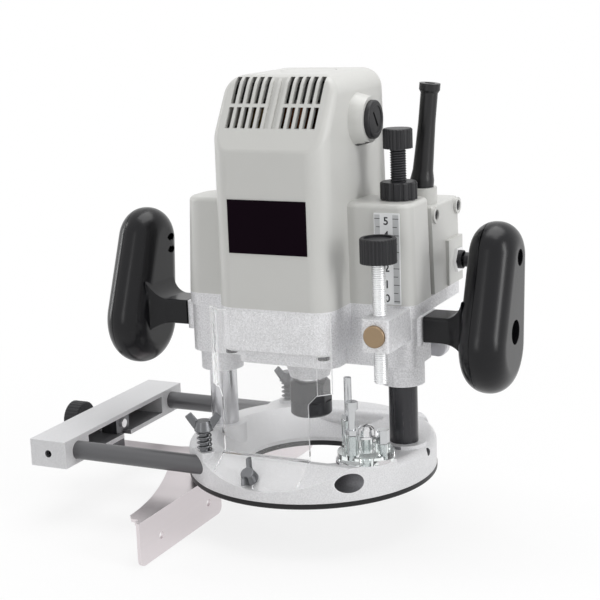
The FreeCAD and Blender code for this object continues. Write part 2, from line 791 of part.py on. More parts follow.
def make_fence():
    bottom = fence_top - sheet_thickness
    back_x = fence_face_x - sheet_thickness
    tip_x = back_x - fence_tip_width
    stem_end = holder_outer_x + holder_wall + 3
    tip_y = fence_half_length - fence_tip_drop
    stem_root = back_x - fence_stem_run
    # the flank sweeps out from the stem to the wing's tip, back by these shares of the way
    sweep = [(0.0, 0.0), (0.25, 0.04), (0.52, 0.22), (0.83, 0.58), (0.95, 0.79), (1.0, 1.0)]
    flank = [vec(stem_root + (tip_x - stem_root) * a, -fence_stem_half - (tip_y - fence_stem_half) * b, bottom)
             for a, b in sweep]
    curve = Part.BSplineCurve()
    curve.interpolate(flank)
    end_y = fence_half_length - 2
    near_edges = [Part.makeLine(vec(stem_end, -fence_stem_half, bottom), flank[0]),
                  curve.toShape(),
                  Part.makeLine(flank[-1], vec(tip_x + 4, -tip_y - 5, bottom)),
                  Part.makeLine(vec(tip_x + 4, -tip_y - 5, bottom), vec(back_x - 2, -tip_y - 5, bottom)),
                  Part.makeLine(vec(back_x - 2, -tip_y - 5, bottom), vec(back_x - 2, -end_y, bottom)),
                  Part.makeLine(vec(back_x - 2, -end_y, bottom), vec(back_x, -end_y, bottom)),
                  Part.makeLine(vec(back_x, -end_y, bottom), vec(back_x, -fence_notch_half, bottom)),
                  Part.makeLine(vec(back_x, -fence_notch_half, bottom), vec(back_x - 9, 8 - fence_notch_half, bottom)),
                  Part.makeLine(vec(back_x - 9, 8 - fence_notch_half, bottom), vec(back_x - 9, 0, bottom)),
                  Part.makeLine(vec(back_x - 9, 0, bottom), vec(stem_end, 0, bottom)),
                  Part.makeLine(vec(stem_end, 0, bottom), vec(stem_end, -fence_stem_half, bottom))]
    half_sheet = Part.Face(Part.Wire(near_edges)).extrude(vec(0, 0, sheet_thickness))
    plates = []
    cuts = []
    for side in (-1, 1):
        y0, y1 = sorted((side * fence_notch_half, side * fence_half_length))
        plate = block(back_x, fence_face_x, y0, y1, fence_bottom, fence_top)
        plate = round_edges(plate, 5.0, lambda e: near(e.BoundBox.XLength, sheet_thickness)
                            and e.BoundBox.ZMax < fence_bottom + 1)
        bead = bar(1.4, vec(back_x, y0 + 3, fence_top - 1.2), vec(back_x, y1 - 3, fence_top - 1.2))
        bead = bead.common(block(back_x - 5, back_x + 5, y0, y1, fence_bottom, fence_top))
        plates.append(plate)
        plates.append(bead)
        for y in (fence_hole_inner_y, fence_hole_outer_y):
            cuts.append(bar(fence_hole_radius, vec(back_x - 1, side * y, fence_hole_z),
                            vec(fence_face_x + 1, side * y, fence_hole_z)))
    sheet = fuse(half_sheet, mirror_y(half_sheet), *plates)
    cuts.append(post(bracket_x, 0, 2.5, fence_top - sheet_thickness - 1, fence_top + 1))
    save("fence_plate", sheet.cut(cuts))
    nut_block = block(bracket_x - bracket_half_length, bracket_x + bracket_half_length, -bracket_half, bracket_half,
                      holder_bottom + holder_wall + body_gap, holder_top - holder_wall - body_gap)
    neck = block(bracket_x - neck_half, bracket_x + neck_half, -neck_half, neck_half,
                 fence_top, holder_bottom + holder_wall + 1)
    bracket = fuse(nut_block, neck)
    bracket = bracket.cut([bar(feed_screw_radius + running_gap, vec(bracket_x - bracket_half - 1, 0, guide_rod_z),
                               vec(bracket_x + bracket_half + 1, 0, guide_rod_z)),
                           post(bracket_x, 0, 2.5, fence_top - 1, fence_top + 7)])
    save("fence_bracket", bracket)
    screw = post(bracket_x, 0, 2.5, bottom, fence_top + 7)
    head = post(bracket_x, 0, 5.0, bottom - 2.6, bottom)
    socket = hexagon(bracket_x, 0, 3.2, bottom - 3.6, bottom - 1.0)
    save("fence_screw", fuse(screw, head).cut(socket))


# ---- Motor bracket ----
def body_slab(z0, z1, inset):
    return slab(-body_half_width + inset, body_half_width - inset, -body_half_depth + inset,
                body_half_depth - inset, z0, z1, body_corner - inset)


def make_motor_bracket():
    shell = body_slab(bracket_floor, bracket_top, 0)
    shell = round_edges(shell, 2.0, level_at(bracket_floor))
    hollow = body_slab(bracket_floor + bracket_wall, bracket_top + 1, bracket_wall)
    pieces = []
    for side in (-1, 1):
        reach = ear_half_width if side > 0 else left_ear_half_width
        corner = ear_corner if side > 0 else left_ear_corner
        x0, x1 = sorted((side * (body_half_width - 12), side * reach))
        back = cover_back if side > 0 else main_ear_back
        flange = slab(x0, x1, ear_front, back, bracket_top - flange_depth, bracket_top, corner)
        x0, x1 = sorted((side * (body_half_width - 12), side * (reach - 1)))
        pillar = slab(x0, x1, ear_front + 1, main_ear_back, ear_bottom, bracket_top, corner - 1)
        pieces += [flange, pillar, post(side * column_x, 0, sleeve_radius, sleeve_bottom, bracket_top - 1)]
        tang = block(min(side * 70, side * tang_end_x), max(side * 70, side * tang_end_x), -tang_half_width,
                     tang_half_width, tang_bottom(), tang_bottom() + tang_height)
        pieces.append(tang)
        pieces.append(slab(min(side * 70, side * (arm_start_x - 0.5)), max(side * 70, side * (arm_start_x - 0.5)),
                           -arm_half_width - 1, arm_half_width + 1, arm_bottom - 2, arm_top, 3.0))
    lower_plate = slab(-plate_half_width, plate_half_width, plate_step_y, plate_back, ear_bottom,
                       bracket_floor + 1, 14.0)
    lower_front = slab(-plate_front_half, plate_front_half, plate_front, plate_step_y + 20, ear_bottom,
                       bracket_floor + 1, 9.0)
    neck = turned([(0, bearing_collar_bottom), (bearing_collar_radius, bearing_collar_bottom),
                   (bearing_collar_radius + 2.5, bearing_collar_bottom + 8), (bracket_neck_radius, ear_bottom - 3),
                   (bracket_neck_radius, lower_bearing_bottom + lower_bearing_height + bearing_ledge),
                   (0, lower_bearing_bottom + lower_bearing_height + bearing_ledge)])
    clamp = slab(clamp_left_x, clamp_right_x, clamp_front_y, ear_front + 4, clamp_bottom, clamp_top, 2.0)
    lock_boss = bar(lock_hub_radius, vec(column_x, 10, lock_z), vec(column_x, lock_boss_end, lock_z))
    bracket = fuse(shell, lower_plate, lower_front, neck, clamp, lock_boss, *pieces)
    cuts = [hollow, post(0, 0, lower_bearing_radius, lower_bearing_bottom, bracket_floor + 30),
            post(0, 0, bearing_collar_radius - 2.5, bearing_collar_bottom - 1, bracket_floor)]
    for side in (-1, 1):
        cuts.append(post(side * column_x, 0, bush_radius, sleeve_bottom - 1, sleeve_bottom + bush_length))
        cuts.append(post(side * column_x, 0, column_radius + hole_gap, sleeve_bottom, bracket_top + 1))
    cuts.append(post(pole_x, pole_y, pole_radius + running_gap, clamp_bottom - 1, clamp_top + 1))
    cuts.append(bar(button_radius + running_gap, vec(button_x, clamp_front_y - 1, button_z()),
                    vec(button_x, clamp_front_y + button_depth, button_z())))
    cuts.append(bar(lock_bolt_radius + running_gap, vec(column_x, column_radius + 0.2, lock_z),
                    vec(column_x, lock_boss_end + 1, lock_z)))
    for x, y in housing_screw_places():
        cuts.append(post(x, y, 2.1, bracket_floor - 1, bracket_top + 1))
    save("motor_bracket", bracket.cut(cuts))


def button_z():
    return (clamp_bottom + clamp_top) / 2


def tang_bottom():
    return (arm_bottom + arm_top) / 2 - tang_height / 2


def housing_screw_places():
    return [(sx * housing_screw_x, sy * housing_screw_y) for sx in (-1, 1) for sy in (-1, 1)]


def make_bushes():
    bushes = []
    for side in (-1, 1):
        bushes.append(ring(side * column_x, 0, bush_radius, column_radius + running_gap, sleeve_bottom,
                           sleeve_bottom + bush_length))
    save("plunge_bushes", *bushes)


# ---- Motor housing ----
def beside_slope(edge):
    """The edges up both sides of the sloped louvre face, left after the crown is rounded."""
    box = edge.BoundBox
    return (box.ZMin > slope_bottom - 12 and box.ZMax < housing_top - 3 and box.ZLength > 5
            and box.YMax < -20)


def housing_form(inset, bottom):
    """The closed outer form of the motor housing, or its hollow when inset by the wall."""
    low = ear_outline(-body_half_width + inset, body_half_width - inset, -body_half_depth + inset,
                      body_half_depth - inset, bottom, body_corner - inset)
    top = housing_top - inset
    high = ear_outline(-housing_top_half_width + inset, housing_top_half_width - inset, -body_half_depth + inset,
                       body_half_depth - back_draft - inset, top, body_corner - inset)
    form = Part.makeLoft([low, high], True, True)
    lean = math.radians(slope_angle)
    start_y = -body_half_depth - 5
    start_z = slope_bottom - inset * math.tan(lean_back()) - 5 * math.tan(lean)
    foot = vec(-60, start_y + inset, start_z)
    along = vec(0, math.cos(lean), math.sin(lean))
    out = vec(0, -math.sin(lean), math.cos(lean))
    wedge = prism([foot, foot.add(along * 90), foot.add(along * 90).add(out * 60), foot.add(out * 60)],
                  vec(120, 0, 0))
    form = form.cut(wedge)
    form = round_edges(form, crown_round - inset, level_at(top))
    if inset == 0:
        form = round_edges(form, flank_round, beside_slope)
    right_half = form.common(block(0, body_half_width + 1, -body_half_depth - 1, body_half_depth + 1,
                                   bottom - 1, housing_top + 1))
    return fuse(right_half, mirror_x(right_half))


def ear_outline(x0, x1, y0, y1, z, corner):
    solid = slab(x0, x1, y0, y1, z, z + 1, corner)
    face = [f for f in solid.Faces if near(f.BoundBox.ZMax, z)][0]
    return face.OuterWire


def housing_ear(side, inset, bottom):
    """The drafted plastic box over one column; the left one is rounder and leans in more."""
    draft = ear_draft if side > 0 else left_ear_draft
    corner = (ear_corner if side > 0 else left_ear_corner) - inset
    reach = (ear_half_width if side > 0 else left_ear_half_width) - inset
    inner = body_half_width - 12
    back = main_ear_back - inset
    low = ear_outline(*sorted((side * inner, side * reach)), ear_front + inset, back, bottom, corner)
    high = ear_outline(*sorted((side * inner, side * (reach - draft))), ear_front + inset, back,
                       ear_top - inset, corner)
    ear = Part.makeLoft([low, high], True, True)
    return round_edges(ear, ear_top_round if inset == 0 else 1.0, level_at(ear_top - inset))


def make_motor_housing():
    outer = housing_form(0, bracket_top)
    inner = housing_form(housing_wall, bracket_top - 1)
    pieces = [outer]
    cuts = [inner]
    web = []
    for side in (-1, 1):
        pieces.append(housing_ear(side, 0, bracket_top))
        cuts.append(housing_ear(side, housing_wall, bracket_top - 1))
        boss = turned([(0, 0), (cap_boss_radius + 3.0, 0), (cap_boss_radius + 0.4, cap_boss_length - 4),
                       (cap_boss_radius - 0.6, cap_boss_length), (0, cap_boss_length)])
        boss = spun(boss, vec(0, 0, 0), vec(0, 1, 0), side * 90)
        pieces.append(moved(boss, side * (cap_boss_x - cap_boss_length), 0, cap_height))
        cuts.append(bar(cap_thread_radius, vec(side * 20, 0, cap_height), vec(side * (cap_boss_x + 1), 0, cap_height)))
    body = fuse(*pieces).cut(cuts)
    wall_plate = block(-body_half_width, body_half_width, -16, 16, top_bearing_bottom, top_bearing_bottom + 9)
    wall_plate = wall_plate.common(housing_form(housing_wall / 2, bracket_top))
    cup = post(0, 0, top_bearing_radius + 3, top_bearing_bottom, housing_top - 1)
    web.append(wall_plate.fuse(cup).common(housing_form(housing_wall / 2, bracket_top)))
    for side in (-1, 1):
        y0, y1 = sorted((side * (body_half_depth - housing_wall / 2), side * math.sqrt(stator_radius ** 2 - 15 ** 2)))
        for rib_x in (-15, 15):
            rib = block(rib_x - 1.5, rib_x + 1.5, y0, y1, stator_bottom, stator_bottom + stator_height)
            web.append(rib.cut(stator_blank()).common(housing_form(housing_wall / 2, bracket_top)))
    for x, y in housing_screw_places():
        pillar = post(x, y, 4.5, bracket_top, bracket_top + 20)
        web.append(pillar.common(housing_form(housing_wall / 2, bracket_top)))
    body = fuse(body, *web)
    holes = [post(0, 0, top_bearing_radius, top_bearing_bottom - 1, top_bearing_bottom + top_bearing_height)]
    holes.append(post(0, 0, 7.5, top_bearing_bottom, top_bearing_bottom + top_bearing_height + 1.5))
    for side in (-1, 1):
        holes.append(block(min(side * 12, side * 32), max(side * 12, side * 32), -8, 8,
                           cap_height - brush_depth / 2 - 2, cap_height + brush_depth / 2 + 2))
    holes.append(post(column_x, 0, height_rod_radius + hole_gap, ear_top - 10, ear_top + 2))
    for x, y in housing_screw_places():
        holes.append(post(x, y, 2.0, bracket_top - 1, bracket_top + 16))
    holes += louvre_slots()
    holes.append(label_recess())
    save("motor_housing", body.cut(holes))


def stator_blank():
    blank = post(0, 0, stator_radius, stator_bottom, stator_bottom + stator_height)
    return blank.common(block(-stator_half_width, stator_half_width, -beyond, beyond, 0, beyond))


def lean_back():
    return math.radians(90 - slope_angle) / 2


def slope_y(z):
    return -body_half_depth + (z - slope_bottom) / math.tan(math.radians(slope_angle))


def louvre_slots():
    slots = []
    front = -body_half_depth - 5
    back = slope_y(housing_top) + crown_round / 2
    for index in range(slot_count):
        x = (index - (slot_count - 1) / 2) * slot_pitch
        x0, x1 = x - slot_width / 2, x + slot_width / 2
        if index in (slot_count // 2 - 1, slot_count // 2):
            slots.append(blind_slot(x0, x1))
        else:
            slots.append(block(x0, x1, front, back, slot_low, slot_bar_low))
            slots.append(block(x0, x1, front, back, slot_bar_high, slot_high))
    return slots


def blind_slot(x0, x1):
    low = vec(x0, slope_y(slot_low), slot_low)
    high = vec(x0, slope_y(slot_high), slot_high)
    return prism([low.add(vec(0, -9, 0)), low.add(vec(0, blind_slot_depth, 0)),
                  high.add(vec(0, blind_slot_depth, 0)), high.add(vec(0, -9, 0))], vec(x1 - x0, 0, 0))


def label_recess():
    return block(-label_half_width, label_half_width, -body_half_depth - 1, -body_half_depth + 0.3,
                 label_bottom, label_top)


def make_plates():
    label = block(-label_half_width, label_half_width, -body_half_depth + 0.3 - plate_thickness,
                  -body_half_depth + 0.3, label_bottom, label_top)
    save("label_plate", label)
    scale = block(scale_x - scale_half_width, scale_x + scale_half_width, ear_front - plate_thickness, ear_front,
                  scale_bottom, scale_top)
    save("scale_plate", scale)


# ---- Switch cover and switch ----
def cover_side(z):
    """The cover's side leans in with the ear beside it."""
    return ear_half_width - ear_draft * (z - bracket_top) / (ear_top - bracket_top)


def cover_outline(inset, z):
    x0 = body_half_width + cover_gap + inset
    x1 = cover_side(z) - inset
    points = [vec(x0, main_ear_back + cover_gap + inset, z), vec(x1, main_ear_back + cover_gap + inset, z),
              vec(x1, cover_back - inset, z), vec(cover_inner_x + inset, cover_back - inset, z),
              vec(x0, body_half_depth - 6 - inset, z)]
    return Part.makePolygon(points + [points[0]])


def cover_slab(inset, bottom, top):
    return Part.makeLoft([cover_outline(inset, bottom), cover_outline(inset, top)], True, True)


def outer_corner(edge):
    box = edge.BoundBox
    return box.ZLength > 20 and box.XMin > cover_inner_x - 3 and box.YMin > main_ear_back + 10


def make_switch_cover():
    cover = round_edges(cover_slab(0, bracket_top, cover_top), 5.0, outer_corner)
    cover = round_edges(cover, 1.5, level_at(cover_top))
    cover = cover.cut(cover_slab(cover_wall, bracket_top - 1, cover_top - cover_wall))
    pieces = [post(guard_socket_x, guard_socket_y, 9.5, cover_top - 1, guard_socket_top)]
    pieces.append(block(ear_half_width - 2, ear_half_width + switch_plate_step, switch_y - switch_plate_half,
                        min(switch_y + switch_plate_half, cover_back - 3), switch_z - switch_plate_half,
                        switch_z + switch_plate_half))
    cuts = []
    for y in cover_screw_y:
        pieces.append(bar(cover_boss_radius, vec(cover_seat_x - case_screw_length + 2, y, cover_screw_z),
                          vec(ear_half_width + 0.3, y, cover_screw_z)))
        cuts.append(bar(case_screw_head + 0.2, vec(cover_seat_x, y, cover_screw_z),
                        vec(ear_half_width + 2, y, cover_screw_z)))
        cuts.append(bar(case_screw_radius, vec(cover_seat_x - case_screw_length, y, cover_screw_z),
                        vec(cover_seat_x, y, cover_screw_z)))
    cover = fuse(cover, *pieces)
    cuts.append(post(guard_socket_x, guard_socket_y, 5.2, cover_top - 6, guard_socket_top + 1))
    cuts.append(bar(5.9, vec(ear_half_width - 6, switch_y, switch_z), vec(ear_half_width + 3, switch_y, switch_z)))
    save("switch_cover", cover.cut(cuts))


def make_switch():
    face = ear_half_width + switch_plate_step
    behind = cover_side(switch_z + 13) - cover_wall
    body = block(behind - 23, behind, switch_y - 8, switch_y + 8, switch_z - 13, switch_z + 13)
    barrel = bar(5.9, vec(behind - 1, switch_y, switch_z), vec(face + 4.5, switch_y, switch_z))
    pocket = bar(toggle_pocket_radius, vec(ear_half_width - 14, switch_y, switch_z),
                 vec(face + 6, switch_y, switch_z))
    mouth = Part.makeCone(toggle_pocket_radius, toggle_mouth_radius, face + 4.5 - toggle_pivot_x(),
                          vec(toggle_pivot_x(), switch_y, switch_z), vec(1, 0, 0))
    pocket = pocket.fuse(mouth)
    save("switch_body", fuse(body, barrel).cut(pocket))
    nut = spun(hexagon(0, 0, 15.0, 0, 2.4), vec(0, 0, 0), vec(0, 1, 0), 90)
    nut = moved(nut, face, switch_y, switch_z)
    hole = bar(5.9, vec(face - 1, switch_y, switch_z), vec(face + 4, switch_y, switch_z))
    save("switch_nut", nut.cut(hole))
    length = switch_plate_step + 6.0 + toggle_reach
    toggle = turned([(0, -3.4), (2.2, -2.6), (3.4, 0), (2.2, 2.6), (1.6, 3.4), (1.9, length - 4), (2.6, length - 2),
                     (2.6, length + 1), (1.4, length + 2), (0, length + 2)])
    toggle = spun(toggle, vec(0, 0, 0), vec(0, 1, 0), 90)
    toggle = toggle.fuse(bar(toggle_pin_radius, vec(0, -toggle_pin_reach, 0), vec(0, toggle_pin_reach, 0)))
    save("switch_toggle", moved(toggle, toggle_pivot_x(), switch_y, switch_z))


def toggle_pivot_x():
    return ear_half_width - 6


def make_cord_guard():
    lean = 6.0
    height = 64.0
    bell = turned([(0, 0), (7.5, 0), (7.5, 4), (6.4, 10), (5.8, 26), (5.35, 40), (5.35, height - 6),
                   (6.5, height - 4), (6.5, height), (2.9, height), (2.9, 0.0)])
    bore = post(0, 0, 3.2, -1, height + 1)
    sleeve = bell.cut(bore)
    sleeve = spun(sleeve, vec(0, 0, 0), vec(0, 1, 0), lean)
    sleeve = moved(sleeve, guard_socket_x, guard_socket_y, guard_socket_top + 0.6)
    above = block(guard_socket_x - 20, guard_socket_x + 30, guard_socket_y - 20, guard_socket_y + 20,
                  guard_socket_top, beyond)
    plug = ring(guard_socket_x, guard_socket_y, 5.2, 3.2, cover_top - 6, guard_socket_top + 3)
    save("cord_guard", fuse(sleeve.common(above), plug).cut(
        post(guard_socket_x, guard_socket_y, 3.2, cover_top - 7, guard_socket_top + 4)))


# ---- Motor ----
def make_stator():
    bottom = stator_bottom
    top = stator_bottom + stator_height
    core = stator_blank().cut(post(0, 0, stator_bore, bottom - 1, top + 1))
    slots = []
    for side in (-1, 1):
        slots.append(block(min(side * 12, side * 31), max(side * 12, side * 31), -14, 14, bottom - 1, top + 1))
    save("stator_core", core.cut(slots))
    coils = []
    for side in (-1, 1):
        ends = ring(0, 0, 33.0, 26.0, bottom - 7, top + 7).common(
            block(-beyond, beyond, min(side * 0.6, side * beyond), max(side * 0.6, side * beyond), 0, beyond))
        window = block(-beyond, beyond, -beyond, beyond, bottom, top)
        coils.append(ends.cut(window))
    sides = []
    for side in (-1, 1):
        for half in (-1, 1):
            x0, x1 = sorted((side * (stator_bore + 1), side * 30.6))
            y0, y1 = sorted((half * 0.6, half * 13.6))
            leg = block(x0, x1, y0, y1, bottom - 0.5, top + 0.5)
            keep = post(0, 0, 32.8, 0, beyond).cut(post(0, 0, stator_bore + 1.4, 0, beyond))
            sides.append((half, leg.common(keep)))
    solids = []
    for coil_half, ends in zip((-1, 1), coils):
        solids.append(fuse(ends, *[leg for half, leg in sides if half == coil_half]))
    save("field_coils", *solids)


def make_armature():
    shaft_step = lower_bearing_bottom + lower_bearing_height + 1
    shaft = turned([(0, nose_bottom), (nose_radius, nose_bottom), (nose_radius, lower_bearing_bottom - 10),
                    (lower_bearing_bore + 1.5, lower_bearing_bottom - 10), (lower_bearing_bore + 1.5, lower_bearing_bottom),
                    (lower_bearing_bore, lower_bearing_bottom), (lower_bearing_bore, shaft_step),
                    (shaft_radius, shaft_step), (shaft_radius, top_bearing_bottom - 3),
                    (top_bearing_bore + 1.2, top_bearing_bottom - 3), (top_bearing_bore + 1.2, top_bearing_bottom),
                    (top_bearing_bore, top_bearing_bottom), (top_bearing_bore, shaft_top), (0, shaft_top)])
    seat = turned([(0, nose_bottom - 1), (8.2, nose_bottom - 1), (collet_bore, nose_bottom + 16), (0, nose_bottom + 16)])
    shank_room = post(0, 0, collet_bore, nose_bottom, nose_bottom + 22)
    save("spindle_shaft", shaft.cut([seat, shank_room]))
    top = stator_bottom + stator_height
    core = post(0, 0, armature_radius, stator_bottom + 1, top - 1)
    core = core.cut(post(0, 0, shaft_radius, 0, beyond))
    slots = []
    for step in range(12):
        slot = block(armature_radius - 7, armature_radius + 1, -1.4, 1.4, 0, beyond)
        slots.append(spun(slot, vec(0, 0, 0), vec(0, 0, 1), 30 * step))
    save("armature_core", core.cut(slots))
    ends = []
    for z0, z1 in ((stator_bottom - 9, stator_bottom + 1), (top - 1, top + 8)):
        ends.append(round_edges(ring(0, 0, 21.0, shaft_radius, z0, z1), 2.5,
                                lambda e: e.BoundBox.XLength > 2 * shaft_radius + 1))
    save("armature_windings", *ends)
    bottom = commutator_bottom
    commutator = ring(0, 0, commutator_radius, shaft_radius, bottom, bottom + commutator_length)
    cuts = []
    for step in range(24):
        cut = block(commutator_radius - 1.2, commutator_radius + 1, -0.3, 0.3, bottom - 1, bottom + commutator_length + 1)
        cuts.append(spun(cut, vec(0, 0, 0), vec(0, 0, 1), 15 * step))
    save("commutator", commutator.cut(cuts))


def make_fan():
    plate = post(0, 0, fan_radius, fan_bottom, fan_bottom + 2)
    hub = post(0, 0, 10.0, fan_bottom, fan_bottom + fan_height)
    blades = []
    for step in range(fan_blades):
        blade = block(9, fan_radius - 1, -0.9, 0.9, fan_bottom + 1, fan_bottom + fan_height)
        blade = spun(blade, vec(9, 0, 0), vec(0, 0, 1), 20)
        blade = blade.common(post(0, 0, fan_radius - 0.5, 0, beyond))
        blades.append(spun(blade, vec(0, 0, 0), vec(0, 0, 1), 360.0 * step / fan_blades))
    fan = fuse(plate, hub, *blades)
    save("cooling_fan", fan.cut(post(0, 0, shaft_radius, 0, beyond)))


def make_bearings():
    lower = ring(0, 0, lower_bearing_radius, lower_bearing_bore + running_gap, lower_bearing_bottom,
                 lower_bearing_bottom + lower_bearing_height)
    upper = ring(0, 0, top_bearing_radius, top_bearing_bore + running_gap, top_bearing_bottom,
                 top_bearing_bottom + top_bearing_height)
    save("spindle_bearings", lower, upper)


def make_brushes():
    holders, brushes, springs, caps = [], [], [], []
    for side in (-1, 1):
        z0, z1 = cap_height - brush_depth / 2, cap_height + brush_depth / 2
        inner = commutator_radius + 2.0
        outer = cap_boss_x - 3.0
        x0, x1 = sorted((side * inner, side * outer))
        tube = block(x0, x1, -brush_width / 2 - 1.2, brush_width / 2 + 1.2, z0 - 1.2, z1 + 1.2)
        flange = bar(cap_thread_radius, vec(side * (outer - 3), 0, cap_height), vec(side * outer, 0, cap_height))
        hollow = block(x0 - 1, x1 + 1, -brush_width / 2, brush_width / 2, z0, z1)
        holders.append(fuse(tube, flange).cut(hollow))
        tip = commutator_radius + running_gap
        b0, b1 = sorted((side * tip, side * (tip + 16)))
        brushes.append(block(b0, b1, -brush_width / 2, brush_width / 2, z0, z1))
        turns = coil(0, 0, 2.2, 0.35, 0, outer - tip - 16, 2.4)
        turns = spun(turns, vec(0, 0, 0), vec(0, 1, 0), side * 90)
        springs.append(moved(turns, side * (tip + 16), 0, cap_height))
        plug = bar(cap_thread_radius, vec(side * outer, 0, cap_height), vec(side * cap_boss_x, 0, cap_height))
        head = bar(cap_radius, vec(side * cap_boss_x, 0, cap_height), vec(side * cap_face_x, 0, cap_height))
        head = bevel_edges(head, 0.8, at_x(side * cap_face_x))
        s0, s1 = sorted((side * (cap_face_x - 1.4), side * (cap_face_x + 1)))
        slot = block(s0, s1, -0.9, 0.9, cap_height - 5.5, cap_height + 5.5)
        slot = spun(slot, vec(0, 0, cap_height), vec(1, 0, 0), cap_slot_turn)
        recess = bar(8.6, vec(side * (cap_face_x - 0.5), 0, cap_height), vec(side * (cap_face_x + 1), 0, cap_height))
        caps.append(fuse(plug, head).cut([slot, recess]))
    save("brush_holders", *holders)
    save("brushes_and_springs", *(brushes + springs))
    save("brush_caps", *caps)


def make_collet():
    nut = post(0, 0, collet_nut_radius, collet_nut_bottom, collet_nut_top)
    nut = bevel_edges(nut, 2.0, level_at(collet_nut_top))
    nut = bevel_edges(nut, 1.2, level_at(collet_nut_bottom))
    nut = nut.common(hexagon(0, 0, 2 * collet_nut_radius - 2.4, collet_nut_bottom, collet_nut_top).fuse(
        [post(0, 0, collet_nut_radius, collet_nut_bottom, collet_nut_bottom + 9)]))
    thread = post(0, 0, nose_radius + running_gap, nose_bottom - 0.5, collet_nut_top + 1)
    throat = turned([(0, collet_nut_bottom - 1), (collet_bore + 2.4, collet_nut_bottom - 1),
                     (collet_bore + 2.4, collet_nut_bottom + 3), (9.0, nose_bottom - 3), (9.0, nose_bottom),
                     (0, nose_bottom)])
    save("collet_nut", nut.cut([thread, throat]))
    base = nose_bottom - collet_slack
    cone = turned([(0, collet_nut_bottom + 0.2), (collet_bore + 2.2, collet_nut_bottom + 0.2),
                   (collet_bore + 2.2, collet_nut_bottom + 3), (8.6, nose_bottom - 3), (8.6, base),
                   (8.0, nose_bottom), (6.9, nose_bottom + 9), (0, nose_bottom + 9)])
    cone = cone.cut(post(0, 0, collet_bore, 0, 100))
    slits = []
    for step in range(4):
        slit = block(collet_bore - 1, 12, -0.5, 0.5, collet_nut_bottom - 1, nose_bottom + 6)
        slits.append(spun(slit, vec(0, 0, 0), vec(0, 0, 1), 90 * step + 45))
    save("collet_cone", cone.cut(slits))


collet_slack = 0.5


# ---- Stop pole, fast-feed button and lock lever ----
def make_stop_pole():
    pole = post(pole_x, pole_y, pole_radius, pole_bottom, pole_top)
    pole = bevel_edges(pole, 0.9, level_at(pole_bottom))
    save("stop_pole", pole)
    knob = post(pole_x, pole_y, pole_knob_radius, pole_knob_bottom, pole_knob_top)
    knob = bevel_edges(knob, 0.8, level_at(pole_knob_top))
    knob = scallops(knob, pole_x, pole_y, pole_knob_radius + 0.5, 32, 0.9, pole_knob_bottom, pole_knob_top)
    knob = knob.cut([post(pole_x, pole_y, pole_radius + running_gap, pole_knob_bottom - 1, pole_top + body_gap),
                     post(pole_x, pole_y, pole_knob_radius - 2.5, pole_knob_top - 1.2, pole_knob_top + 1)])
    save("pole_knob", knob)
    front = clamp_front_y - button_stand_out
    button = bar(button_radius, vec(button_x, front, button_z()),
                 vec(button_x, clamp_front_y + button_depth - button_travel - body_gap, button_z()))
    button = bevel_edges(button, 0.6, lambda e: near(e.BoundBox.YMin, front) and e.BoundBox.YLength < 0.01)
    save("feed_button", button)


def make_lock_lever():
    foot = lock_boss_end + body_gap
    bolt = bar(lock_bolt_radius, vec(column_x, column_radius + body_gap, lock_z), vec(column_x, foot + 1, lock_z))
    hub = bar(lock_hub_radius, vec(column_x, foot, lock_z), vec(column_x, foot + lock_hub_length, lock_z))
    y0, y1 = foot + 1, foot + 1 + lock_lever_thickness
    tip_x = column_x + lock_lever_length
    arm = prism([vec(column_x, y0, lock_z - 5.4), vec(tip_x, y0, lock_z - lock_lever_tip),
                 vec(tip_x, y0, lock_z + lock_lever_tip), vec(column_x, y0, lock_z + 5.4)], vec(0, y1 - y0, 0))
    tip = bar(lock_lever_tip, vec(tip_x, y0, lock_z), vec(tip_x, y1, lock_z))
    save("lock_lever", fuse(bolt, hub, arm, tip))


# ---- Handles ----
def egg(foot, head, half_height, x0, length):
    """An upright egg-shaped slab: a wide round foot and a narrow round head, with tangent flanks."""
    low = -(half_height - foot)
    high = half_height - head
    lean = math.asin((foot - head) / (high - low))
    out = vec(0, math.cos(lean), math.sin(lean))
    back = vec(0, -math.cos(lean), math.sin(lean))
    foot_centre = vec(x0, 0, low)
    head_centre = vec(x0, 0, high)
    sole = Part.Arc(foot_centre.add(back * foot), foot_centre.add(vec(0, 0, -foot)), foot_centre.add(out * foot))
    crown = Part.Arc(head_centre.add(out * head), head_centre.add(vec(0, 0, head)), head_centre.add(back * head))
    edges = [sole.toShape(), Part.makeLine(foot_centre.add(out * foot), head_centre.add(out * head)),
             crown.toShape(), Part.makeLine(head_centre.add(back * head), foot_centre.add(back * foot))]
    return Part.Face(Part.Wire(edges)).extrude(vec(length, 0, 0))


def leaned(shape):
    return moved(spun(shape, vec(0, 0, 0), vec(1, 0, 0), -handle_tilt), 0, handle_y, handle_z)


def handle_form(side, inset):
    x0 = side * handle_x - handle_thickness / 2 + inset
    form = egg(handle_foot_radius - inset, handle_head_radius - inset, handle_half_height - inset, x0,
               handle_thickness - 2 * inset)
    form = round_edges(form, handle_round - inset, lambda e: e.BoundBox.XLength < 0.01)
    return leaned(form)


def handle_screw_places():
    lean = math.radians(handle_tilt)
    return [(handle_y + reach * math.sin(lean), handle_z + reach * math.cos(lean)) for reach in handle_screw_reach]


def arm_section(x, half, low, high):
    return Part.makePolygon([vec(x, -half, low), vec(x, half, low), vec(x, half, high), vec(x, -half, high),
                             vec(x, -half, low)])


